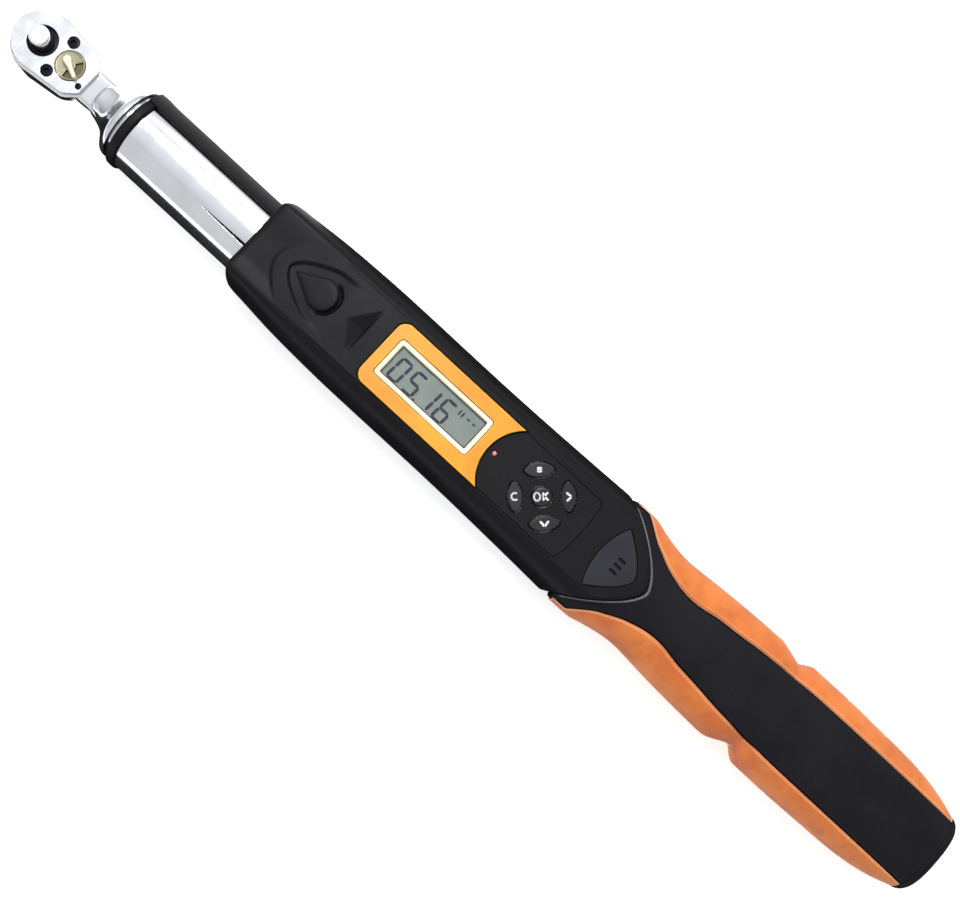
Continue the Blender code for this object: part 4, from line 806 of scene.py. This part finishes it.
def upper_half_section(x, inset, side):
    """One half of the upper shell's section, from the middle of the face to the parting, as on +Y."""
    nose = min(1.0, max(0.0, (x - HOUSING_START) / 2.5))
    nip = 0.9 * (1.0 - math.sqrt(1.0 - (1.0 - nose) ** 2))
    half = along(HOUSING_HALF_WIDTHS, x) - inset
    top = FACE_Z - nip - inset
    face = min(FACE_HALF, half - 2.5) - inset * 0.4
    step = 0.03 + (FACE_STEP - 0.03) * smooth(x, 108.0, 135.0)
    places = [face * i / FACE_POINTS for i in range(FACE_POINTS + 1)]
    points = [(y, top - face_carving(x, side * y)) for y in places]
    points += [(face + 0.12, top - step * 0.2), (face + 0.26, top - step * 0.85)]
    reach = half - face - 0.38
    rise = top - step - WAIST_Z
    end = math.acos((PARTING_Z + 0.15 - WAIST_Z) / rise)
    for i in range(19):
        a = end * i / 18
        points.append((face + 0.38 + reach * math.sin(a), WAIST_Z + rise * math.cos(a)))
    points.append((points[-1][0] - 0.2, PARTING_Z))
    return points


def lower_half_section(x, inset, side):
    """One half of the lower shell's section, from the parting to the middle of the underside, as on +Y."""
    nose = min(1.0, max(0.0, (x - HOUSING_START) / 2.5))
    nip = 0.63 * (1.0 - math.sqrt(1.0 - (1.0 - nose) ** 2))
    half = along(HOUSING_HALF_WIDTHS, x) - inset
    low = nip + inset
    foot = half - 7.0
    top = PARTING_Z - GAP
    points = [(half - 0.22, top), (half - 0.02, top - 0.15)]
    for i in range(15):
        b = math.radians(90.0 * i / 14)
        points.append((foot + 7.0 * math.cos(b), WAIST_Z - (WAIST_Z - low) * math.sin(b)))
    return points + [(foot * 0.5, low), (0.0, low)]


def housing_rings(half_section):
    places = (spread(HOUSING_START, 94.0, 0.3) + spread(94.5, 140.0, 0.35) + spread(145.0, 220.0, 5.0)
              + spread(TAIL_FROM + 1.0, TAIL_TIP - 0.8, 1.5))
    stations = [(x, 0.0) for x in places]
    stations += [(TAIL_TIP - 0.8 * (1 - math.sin(a)), 0.8 * (1 - math.cos(a)))
                 for a in (math.radians(22.5 * i) for i in range(1, 5))]
    rings = []
    for station, inset in stations:
        ring = []
        for side in (1, -1):
            row = []
            for index in range(len(half_section(station, inset, side))):
                x = station
                for _ in range(3):
                    y, z = half_section(x, inset, side)[index]
                    x = warped(station, y)
                row.append((x, side * y, z))
            ring += row if side > 0 else [point for point in reversed(row) if abs(point[1]) > 1e-6]
        rings.append(ring)
    return rings


def bezel_outline(grow=0.0):
    """Round corners at the front and two points around a hollow arc at the back."""
    half, radius = BEZEL_HALF + grow, BEZEL_ARC_RADIUS - grow
    reach = math.degrees(math.asin(half / radius))
    hollow = arc((BEZEL_ARC_X, 0.0), radius, 180, 180 - reach, 28)
    corner = arc((BEZEL_LOW.x - grow + BEZEL_CORNER, half - BEZEL_CORNER), BEZEL_CORNER, 90, 180, 12)
    return mirrored(hollow + corner)


def keypad_outline(grow=0.0):
    """A panel whose front fits the bezel's hollow and whose back is slightly bowed."""
    half, radius = KEYPAD_HALF + grow, BEZEL_ARC_RADIUS - 0.6 + grow
    reach = math.degrees(math.asin(half / radius))
    front = arc((BEZEL_ARC_X, 0.0), radius, 180, 180 - reach, 28)
    bow_start = math.degrees(math.asin((half - 2.0) / KEYPAD_BOW))
    bow = arc((KEYPAD_HIGH.x + grow - KEYPAD_BOW, 0.0), KEYPAD_BOW, bow_start, 0.0, 10)
    return mirrored(front + [(bow[0][0] - 1.4, half), (bow[0][0] - 0.4, half - 0.7)] + bow)


def speaker_outline(grow=0.0):
    """A shield with a bowed front and a pointed tail."""
    half = SPEAKER_HALF + grow
    depth = SPEAKER_CORNER - SPEAKER_LOW.x
    radius = (SPEAKER_HALF**2 + depth**2) / (2 * depth)
    reach = 180 - math.degrees(math.asin(half / (radius + grow)))
    front = arc((SPEAKER_LOW.x + radius, 0.0), radius + grow, 180, reach, 16)
    length = SPEAKER_HIGH.x - SPEAKER_CORNER
    shares = [1 - i / 28 for i in range(1, 29)]
    tail = [(SPEAKER_HIGH.x + grow - length * share ** TAIL_POWER, half * share) for share in shares]
    return mirrored(front + tail)


def make_housing():
    bore = (TUBE_RADIUS + GAP, HOUSING_START - 3.0, HOUSING_START + 9.0, "X", (0.0, AXIS_Z), 96)
    seat = FACE_Z - 1.2
    upper = loft("housing_upper", housing_rings(upper_half_section))
    cut(upper, cylinder(*bore),
        plate("cutter", bezel_outline(0.4), seat, FACE_Z + 3),
        plate("cutter", keypad_outline(0.2), seat, FACE_Z + 3),
        plate("cutter", speaker_outline(0.25), seat, FACE_Z + 3),
        box((FRAME_LOW.x - GAP, FRAME_LOW.y - GAP, 25.5),
            (FRAME_HIGH.x + GAP, FRAME_HIGH.y + GAP, seat + 1)),
        box((201.0, -10.0, 25.5), (222.0, 10.0, seat + 1)),
        cylinder(1.3, 25.0, seat + 1, centre=(LED_X, 0.0)),
        cylinder(3.6, 26.0, seat + 1, centre=(SLIT_X, 0.0)))
    finish(upper, LOOKS["housing_black"], stands_for=["housing_top_shell"], sharp_deg=32)
    lower = loft("housing_lower", housing_rings(lower_half_section))
    wells = [cylinder(2.7, -1.0, 2.4, centre=(x, side * y)) for x, y in SCREW_PLACES for side in (1, -1)]
    cut(lower, cylinder(*bore), *wells)
    finish(lower, LOOKS["housing_black"], stands_for=["housing_bottom_shell"],
           sharp_deg=32)


def make_plug():
    """The teardrop cap over the pivot pin, rising towards its round end."""
    tip = PLUG_LOW.x
    rise = math.tan(math.radians(5.5))
    point = [(tip + 1.0, 0.75), (tip + 0.3, 0.35), (tip, 0.0)]
    outline = mirrored(arc((PLUG_CENTRE, 0.0), PLUG_RADIUS, 0, 118, 40) + point)
    layers = ((1.0, 0.0), (1.0, 0.55), (0.985, 0.8), (0.94, 0.94), (0.86, 1.0), (0.5, 1.0), (0.1, 1.0))
    low = FACE_Z - SCOOP_DEPTH - 0.4
    rings = []
    for share, level in layers:
        ring = []
        for x, y in outline:
            px, py = PLUG_CENTRE + (x - PLUG_CENTRE) * share, y * share
            top = FACE_Z - 0.25 + (px - tip) * rise
            ring.append((px, py, low + (top - low) * level))
        rings.append(ring)
    finish(loft("teardrop_cap", rings), LOOKS["housing_black"], stands_for=["pin_cover"],
           sharp_deg=40)


# ---------------------------------------------------------------- display and keypad

def window_outline(grow, radius):
    half = WINDOW_HALF + grow
    return rounded_box(WINDOW_START - grow, WINDOW_END + grow, -half, half, radius)


def ring_through(name, levels):
    """A closed ring whose section is given as (growth beyond the window, height)."""
    rings = []
    for grow, z in levels:
        rings.append([(x, y, z) for x, y in window_outline(grow, 0.45 + max(0.0, grow) * 0.5)])
    return loft(name, rings, hollow=True)


def make_bezel():
    """The amber surround, whose pale edges are a painted highlight, the white frame in it, a dark ring of
    painted shade at the window's inner edge and the clear window.
    """
    bezel = plate("display_bezel", bezel_outline(), BEZEL_LOW.z - 0.2, BEZEL_HIGH.z)
    cut(bezel, plate("cutter", window_outline(FRAME_BORDER + 0.15, 1.35), 20, 40))
    bevel(bezel, 0.55, 4)
    finish(bezel, LOOKS["bezel_amber"], stands_for=["bezel"])
    low, top = FRAME_LOW.z, FRAME_HIGH.z
    rim_levels = ((FRAME_BORDER, low), (FRAME_BORDER, top - 0.25), (FRAME_BORDER - 0.2, top),
                  (0.35, top), (0.15, top - 0.1), (0.0, top - 0.3), (-0.1, low))
    rim = ring_through("white_frame", rim_levels)
    finish(rim, LOOKS["frame_white"], stands_for=["window_frame"])
    # A dark ring at the window's inner edge is painted shade.
    edge_shade_levels = ((-0.1, LCD_HIGH.z), (-0.12, low + 0.15), (-0.42, low + 0.15), (-0.42, LCD_HIGH.z))
    edge_shade_ring = ring_through("window_edge_painted_shade", edge_shade_levels)
    finish(edge_shade_ring, LOOKS["key_black"])
    pane = plate("window_pane", window_outline(-0.12, 0.4), low + 0.2, top - 0.7)
    finish(pane, LOOKS["window_clear"], stands_for=["display_window"])


DIGIT_SLANT, SEGMENT_GAP = 0.07, 0.22
SEGMENTS = {"0": "abcdef", "1": "bc", "5": "acdfg", "6": "acdefg"}


def digit_lines(digit, left, low, width, height):
    """The lit segments of one digit, each a line between two of the digit's six corners."""
    right, middle, top = left + width, low + height / 2, low + height
    lines = {"a": ((left, top), (right, top)), "b": ((right, middle), (right, top)),
             "c": ((right, low), (right, middle)), "d": ((left, low), (right, low)),
             "e": ((left, low), (left, middle)), "f": ((left, middle), (left, top)),
             "g": ((left, middle), (right, middle))}
    made = []
    for letter in SEGMENTS[digit]:
        a, b = (Vector(point) for point in lines[letter])
        inward = (b - a).normalized() * SEGMENT_GAP
        ends = (a + inward, b - inward)
        made.append([(x + DIGIT_SLANT * (y - low), y) for x, y in ends])
    return made


def make_lcd():
    """The display module with its reading in seven-segment digits, the point and the unit strokes."""
    glass_outline = rounded_box(LCD_LOW.x, LCD_HIGH.x, LCD_LOW.y, LCD_HIGH.y, 0.4)
    glass = plate("lcd_panel", glass_outline, LCD_LOW.z, LCD_HIGH.z)
    bevel(glass, 0.1, 1)
    finish(glass, LOOKS["lcd_glass"], stands_for=["lcd_module"])
    low, high = LCD_HIGH.z, LCD_HIGH.z + 0.06
    start = WINDOW_START + 2.2
    pitch, width, height = 6.2, 3.7, 7.5
    base = -4.7
    lines = []
    for place, digit in enumerate("0516"):
        lines += digit_lines(digit, start + place * pitch, base, width, height)
    digits = bars("lcd_digits", lines, 0.98, low, high)
    finish(digits, LOOKS["digit_ink"])
    point_x = start + pitch + width + 1.1
    point = bars("lcd_point", [((point_x, base), (point_x + 0.6, base))], 0.95, low, high)
    finish(point, LOOKS["digit_ink"])
    unit_x = start + 3 * pitch + width + 2.2
    marks = [((unit_x + 1.2 * i, 1.2), (unit_x + 1.2 * i + 0.1, 3.1)) for i in (0, 1)]
    marks += [((unit_x + 3.0 + 2.2 * i, 2.2), (unit_x + 4.2 + 2.2 * i, 2.2)) for i in (0, 1)]
    finish(bars("lcd_marks", marks, 0.55, low, high), LOOKS["digit_ink"])


def lens_outline(grow=0.0):
    """Two shallow arcs that meet in rounded points."""
    length, width = SIDE_KEY_LENGTH + 2 * grow, SIDE_KEY_WIDTH + 2 * grow
    radius = (length**2 / 4 + width**2 / 4) / width
    reach = math.degrees(math.asin(length / 2 / radius)) * 0.9
    upper = arc((0.0, width / 2 - radius), radius, 90 - reach, 90 + reach, 24)
    lower = arc((0.0, radius - width / 2), radius, 270 - reach, 270 + reach, 24)
    return upper + lower


LEGEND_SIZE = 1.32


def legend_lines(kind):
    """A key's mark as short lines about its middle, upright when the tool points up and to the left."""
    if kind == "dot":
        return [((-0.55, y), (0.55, y)) for y in (-0.4, 0.0, 0.4)]
    if kind == "right":
        return [((-0.55, 1.0), (0.6, 0.0)), ((0.6, 0.0), (-0.55, -1.0))]
    if kind == "down":
        return [((-1.0, 0.6), (0.0, -0.65)), ((0.0, -0.65), (1.0, 0.6))]
    if kind == "round":
        ring = arc((0.0, 0.0), 0.85, 55, 305, 10)
        return list(zip(ring, ring[1:]))
    ring = [(-1.15 + 0.75 * u, 0.95 * v) for u, v in arc((0.0, 0.0), 1.0, 0, 360, 14)]
    stem = [((0.35, -0.95), (0.35, 0.95)), ((0.45, -0.05), (1.45, 0.95)), ((0.45, 0.1), (1.5, -0.95))]
    return list(zip(ring, ring[1:])) + stem


def make_legend(name, kind, centre, body):
    lines = []
    for line in legend_lines(kind):
        grown = [(centre[0] + u * LEGEND_SIZE, centre[1] + v * LEGEND_SIZE) for u, v in line]
        lines.append([turn(point, centre, 45.0) for point in grown])
    piece = bars(name, lines, 0.68, KEY_CROWN - 0.15, KEY_CROWN + 0.04)
    finish(piece, LOOKS["legend_white"], body)


def make_keypad():
    """The keypad's skin, its round key, four lens-shaped keys with their marks, and the lamp."""
    panel = plate("keypad_skin", keypad_outline(), KEYPAD_LOW.z, KEYPAD_HIGH.z)
    holes = [cylinder(OK_RADIUS + KEY_GAP, 20, 40, centre=(KEYPAD_X, 0.0), segments=64),
             cylinder(0.95, 20, 40, centre=(LED_X, 0.0), segments=32)]
    foot = OK_LOW.z
    keys = (("units_key", "key_units", "dot"), ("next_key", "key_next", "right"),
            ("clear_key", "key_clear", "round"), ("down_key", "key_down", "down"))
    for node, body, kind in keys:
        low, high = span(node)
        centre = ((low.x + high.x) / 2, (low.y + high.y) / 2)
        tilt = 45.0 if (centre[0] < KEYPAD_X) == (centre[1] > 0) else -45.0
        hole = [turn((centre[0] + x, centre[1] + y), centre, tilt) for x, y in lens_outline(KEY_GAP)]
        holes.append(plate("cutter", hole, 20, 40))
        outline = [turn((centre[0] + x, centre[1] + y), centre, tilt) for x, y in lens_outline()]
        key = plate(node + "_cap", outline, foot, KEY_CROWN)
        bevel(key, 0.75, 5)
        finish(key, LOOKS["key_black"], body, [node])
        make_legend(node + "_mark", kind, centre, body)
    cut(panel, *holes)
    bevel(panel, 0.12, 2)
    finish(panel, LOOKS["keypad_rubber"], stands_for=["keypad_panel"])
    profile = rounded([(OK_RADIUS, foot, 0), (OK_RADIUS, KEY_CROWN - 0.1, 0.8),
                       (OK_RADIUS - 1.0, KEY_CROWN, 0.6), (0.3, KEY_CROWN, 0)], steps=6)
    round_key = turned("ok_key_cap", profile, centre=(KEYPAD_X, 0.0))
    finish(round_key, LOOKS["key_black"], "key_ok", ["ok_key"])
    make_legend("ok_key_mark", "ok", (KEYPAD_X, 0.0), "key_ok")
    low, high = span("status_led")
    lamp_profile = rounded([(0.7, low.z, 0), (0.7, high.z - 0.35, 0), (0.62, high.z - 0.12, 0.2),
                            (0.35, high.z, 0.2), (0.05, high.z, 0)])
    lamp = turned("lamp_lens", lamp_profile, centre=(LED_X, 0.0), segments=32)
    finish(lamp, LOOKS["led_red"], stands_for=["status_led"])


def make_speaker():
    panel = plate("sounder_panel", speaker_outline(), SPEAKER_LOW.z, SPEAKER_HIGH.z)
    slits = []
    for row in (-1, 0, 1):
        y = row * SLIT_PITCH
        outline = rounded_box(SLIT_X - 1.4, SLIT_X + 1.4, y - 0.48, y + 0.48, 0.45)
        slits.append(plate("cutter", outline, 20, 40))
    cut(panel, *slits)
    # A black disc under the slits is painted shade that makes them read dark.
    shade_profile = [(3.4, SPEAKER_LOW.z - 0.35), (3.4, SPEAKER_LOW.z - 0.05)]
    shade = turned("sounder_painted_shade", shade_profile, centre=(SLIT_X, 0.0))
    finish(shade, LOOKS["collar_black"])
    bevel(panel, 0.22, 3)
    finish(panel, LOOKS["panel_grey"], stands_for=["speaker_panel"])


# ---------------------------------------------------------------- handle

def section_point(half, height, y=None, angle=None):
    """A point of the superellipse section, at an angle or above a place across."""
    if angle is None:
        angle = math.acos(min(1.0, abs(y) / half) ** (SQUARENESS / 2))
    c, s = math.cos(angle), math.sin(angle)
    power = 2 / SQUARENESS
    return (half * math.copysign(abs(c) ** power, c), height * math.copysign(abs(s) ** power, s))


def side_arc(half, height, y, steps):
    """The section's side from above y round to below it."""
    start = math.acos(min(1.0, y / half) ** (SQUARENESS / 2))
    return [section_point(half, height, angle=start - 2 * start * i / steps) for i in range(steps + 1)]


def notch_depth(x, side):
    """How far the finger notch lets the grip's side in."""
    place, before, after, depth, power = FINGER_NOTCHES[side]
    share = max(0.0, 1.0 - abs(x - place) / (before if x < place else after))
    if power > ROUND_NOTCH:
        return depth * smooth(share, 0.0, 1.05)
    return depth * share ** power


def tick_depth(x, height):
    """How deep the short grooves are at a place, low on the grip's side only."""
    depth = sum(TICK_DEPTH * smooth(1.0 - abs(x - place) / TICK_REACH) for place in TICKS)
    return depth * (1.0 - smooth(abs(height), 3.5, 7.0))


def strip_half(x):
    half, depth = along(HANDLE_HALF_WIDTHS, x), along(GRIP_DEPTHS, x)
    return min(along(STRIP_HALF_WIDTHS, x), half - depth - 0.25)


def make_tail_rim():
    """The narrow rounded rim on the handle that follows the housing's tail, coloured pale grey as a painted
    highlight.
    """
    profile = ((0.0, -0.5), (0.1, 0.6), (0.35, 0.95), (0.65, 0.95), (0.9, 0.6), (1.0, -0.5))
    rings = []
    for y in spread(-RIM_REACH, RIM_REACH, 0.4):
        ring = []
        for share, level in profile:
            x = tail_x(y) + RIM_START + RIM_WIDTH * share
            half, height = along(HANDLE_HALF_WIDTHS, x), along(HANDLE_HEIGHTS, x)
            ring.append((x, y, AXIS_Z + section_point(half, height, y=y)[1] + RIM_HEIGHT * level))
        rings.append(ring)
    finish(loft("tail_rim", rings), LOOKS["rim_grey"], sharp_deg=50)


def core_ring(x):
    """The core's section: a wide crowned strip above and below, and sides set back under the grips."""
    half, height, depth = along(HANDLE_HALF_WIDTHS, x), along(HANDLE_HEIGHTS, x), along(GRIP_DEPTHS, x)
    strip = strip_half(x)
    side = side_arc(half - depth, height - depth, strip, 10)
    upper, lower = [], []
    for i in range(49):
        y = strip * math.cos(math.pi * i / 48)
        z = section_point(half, height, y=y)[1]
        edge = min(1.0, (strip - abs(y)) / 0.5)
        drop = 0.4 * (1.0 - math.sqrt(1.0 - (1.0 - edge) ** 2))
        upper.append((y, z - drop))
        lower.append((y, drop - z))
    ring = side + lower + [(-y, z) for y, z in reversed(side)] + list(reversed(upper))
    return [(x, y, AXIS_Z + z) for y, z in ring]


def grip_ring(x, side):
    """One grip's section: a C around the core's side, its edges rolled down into a groove."""
    whole, height = along(HANDLE_HALF_WIDTHS, x), along(HANDLE_HEIGHTS, x)
    depth = along(GRIP_DEPTHS, x)
    strip = strip_half(x) + 0.4
    notch = notch_depth(x, side)
    roll = min(0.9, depth * 0.6)
    swell = 0.12 * smooth(depth, 0.6, 2.0)
    outer = []
    for y, z in side_arc(whole - notch, height - notch * 0.45 + swell, strip, 40):
        edge = min(1.0, max(0.0, (y - strip) / roll))
        drop = roll * 0.8 * (1.0 - math.sqrt(1.0 - (1.0 - edge) ** 2))
        outer.append((y - tick_depth(x, z), z - math.copysign(drop, z)))
    inner = side_arc(whole - depth + 0.1, height - depth + 0.1, strip, 16)
    return [(x, side * y, AXIS_Z + z) for y, z in outer + list(reversed(inner))]


def tail_prism(gap):
    """Everything ahead of a line that runs behind the housing's tail."""
    half = TAIL_HALF + 4.0
    ys = [half * i / 40 for i in range(41)]
    return plate("cutter", mirrored([(tail_x(y) + gap, y) for y in ys] + [(200.0, half)]), -10.0, 50.0)


def bay(grow, start, end):
    reach = BAY_HALF + grow
    section = rounded_box(-reach, reach, -reach, reach, 5.0 + grow)
    return loft("cutter", [[(x, y, AXIS_Z + z) for y, z in section] for x in (start, end)])


def make_handle():
    stations = spread(235.0, 262.0, 0.4) + spread(263.0, HANDLE_END, 1.5)
    core = loft("handle_spine", [core_ring(x) for x in stations])
    cut(core, tail_prism(0.35), bay(0.0, BAY_START, HANDLE_END + 5.0))
    finish(core, LOOKS["core_black"], stands_for=["handle_core"], sharp_deg=30)
    for side, word in ((1, "left"), (-1, "right")):
        places = spread(GRIP_START, 298.0, 0.8) + spread(298.4, HANDLE_END, 0.4)
        rings = [grip_ring(x, side) for x in places]
        grip = cut(loft("soft_grip_" + word, rings), tail_prism(GRIP_SETBACK))
        finish(grip, LOOKS["grip_orange"], stands_for=["grip_" + word])
    make_tail_rim()


def make_cap():
    """The butt cap with a rounded rim and its spigot."""
    seat, end = HANDLE_END + 0.12, CAP_HIGH.x
    levels = ((seat, 0.2), (seat + 0.1, 0.05), (seat + 0.25, 0.0), (end - 1.9, 0.1), (end - 1.3, 0.45),
              (end - 0.7, 1.1), (end - 0.3, 2.0), (end - 0.08, 2.9), (end, 4.0))
    half, height = CAP_HIGH.y, CAP_HIGH.z - AXIS_Z
    rings = []
    for x, shrink in levels:
        ring = [section_point(half - shrink, height - shrink, angle=math.tau * i / 96) for i in range(96)]
        rings.append([(x, y, AXIS_Z + z) for y, z in ring])
    cap = loft("butt_cap", rings)
    spigot = bay(-0.3, CAP_LOW.x, seat + 0.5)
    join(cap, spigot)
    finish(cap, LOOKS["cap_black"], "butt", ["end_cap"], sharp_deg=40)


# ---------------------------------------------------------------- inner pieces, stage, light and camera

def dress_frame():
    """Every CAD piece that still shows: welded, edges eased, and a material for its slot."""
    slots = {part["node"]: part["material_slot"] for part in frame["record"]["subparts"]}
    for name, obj in frame["nodes"].items():
        if obj.hide_render:
            continue
        slot = slots[name]
        obj.data.materials.clear()
        obj.data.materials.append(LOOKS[slot])
        weld = obj.modifiers.new("weld", "WELD")
        weld.merge_threshold = 1e-6
        smoothing = bevel(obj, 0.12, 2)
        smoothing.modifiers["bevel"].harden_normals = False


def sheet(name, sides, height):
    """A flat rectangle whose sides are given as x0, x1, y0, y1."""
    x0, x1, y0, y1 = sides
    return mesh_object(name, [(x0, y0, height), (x1, y0, height), (x1, y1, height), (x0, y1, height)],
                       [(0, 1, 2, 3)])


def only_in_reflections(obj):
    for kind in ("camera", "diffuse", "transmission", "shadow", "volume_scatter"):
        setattr(obj, "visible_" + kind, False)


def make_floor():
    """The pale floor and the dark cloths on it that only polished surfaces see."""
    floor = sheet("floor", (-FLOOR_HALF, FLOOR_HALF, -FLOOR_HALF, FLOOR_HALF), FLOOR_Z)
    floor.data.materials.append(floor_paint())
    cloth = moulded("flag_cloth", (0.02, 0.02, 0.022), 0.9)
    for sides in FLAGS:
        flag = sheet("dark_flag", sides, FLAG_Z)
        flag.data.materials.append(cloth)
        only_in_reflections(flag)


def make_card():
    """A pale card low on the -Y side that only polished surfaces see."""
    corners = [(CARD_START, CARD_Y, CARD_LOW), (CARD_END, CARD_Y, CARD_LOW),
               (CARD_END, CARD_Y, CARD_TOP), (CARD_START, CARD_Y, CARD_TOP)]
    card = mesh_object("pale_card", corners, [(0, 1, 2, 3)])
    n = Nodes("card_paint")
    card.data.materials.append(n.set(Base_Color=(0.0, 0.0, 0.0), Specular_IOR_Level=0.0,
                                     Emission_Color=(0.97, 0.98, 1.0), Emission_Strength=CARD_GLOW))
    only_in_reflections(card)


def softbox(name, place, aim, size, power):
    data = bpy.data.lights.new(name, "AREA")
    data.shape = "RECTANGLE"
    data.size, data.size_y = size
    data.energy = power
    lamp = bpy.data.objects.new(name, data)
    lamp.location = place
    lamp.rotation_euler = (Vector(aim) - Vector(place)).to_track_quat("-Z", "Y").to_euler()
    bpy.context.scene.collection.objects.link(lamp)


def make_sky():
    """A pale room, brightest overhead and towards +Y, and dark low down."""
    world = bpy.data.worlds.new("studio")
    world.use_nodes = True
    tree = world.node_tree
    place = tree.nodes.new("ShaderNodeTexCoord").outputs["Generated"]
    parts = tree.nodes.new("ShaderNodeSeparateXYZ")
    tree.links.new(place, parts.inputs[0])
    strength = tree.nodes.new("ShaderNodeValue").outputs["Value"]
    strength.default_value = SKY_SIDE
    for axis, share in SKY_SHARES.items():
        step = tree.nodes.new("ShaderNodeMath")
        step.operation = "MULTIPLY_ADD"
        tree.links.new(parts.outputs[axis], step.inputs[0])
        step.inputs[1].default_value = share
        tree.links.new(strength, step.inputs[2])
        strength = step.outputs["Value"]
    least = tree.nodes.new("ShaderNodeMath")
    least.operation = "MAXIMUM"
    least.inputs[1].default_value = SKY_LEAST
    tree.links.new(strength, least.inputs[0])
    sky = tree.nodes["Background"]
    sky.inputs["Color"].default_value = (0.96, 0.975, 1.0, 1.0)
    tree.links.new(least.outputs["Value"], sky.inputs["Strength"])
    bpy.context.scene.world = world


def make_light():
    """A small bright softbox over the head end and a wide soft one beyond the tool's +Y side."""
    middle = (0.19, 0.0, 0.0)
    softbox("key_box", (-0.10, 0.32, 0.95), middle, (0.32, 0.5), 5.6)
    softbox("side_box", (0.25, 0.95, 0.75), middle, (1.2, 0.5), 1.6)


def make_camera():
    """Above the tool, tipped a little towards -Y and turned so that the tool runs down to the right."""
    tilt, turned_by = math.radians(VIEW_TILT_DEG), math.radians(VIEW_TURN_DEG)
    back = Vector((0.0, -math.sin(tilt), math.cos(tilt)))
    across = Vector((0.0, math.cos(tilt), math.sin(tilt)))
    right = Vector((1.0, 0.0, 0.0)) * math.cos(turned_by) + across * math.sin(turned_by)
    up = back.cross(right)
    data = bpy.data.cameras.new("view")
    data.lens = VIEW_LENS
    data.clip_start, data.clip_end = 0.01, 20.0
    camera = bpy.data.objects.new("view", data)
    place = Vector(VIEW_TARGET) + back * VIEW_DISTANCE
    axes = Matrix((right, up, back)).transposed().to_4x4()
    camera.matrix_world = Matrix.Translation(place) @ axes
    bpy.context.scene.collection.objects.link(camera)
    bpy.context.scene.camera = camera
    bpy.context.scene.view_settings.view_transform = "Standard"


make_camera()
make_forging()
make_cover()
make_drive()
make_lever()
make_collar()
make_tube()
make_housing()
make_plug()
make_bezel()
make_lcd()
make_keypad()
make_speaker()
make_handle()
make_cap()
dress_frame()
make_floor()
make_card()
make_sky()
make_light()
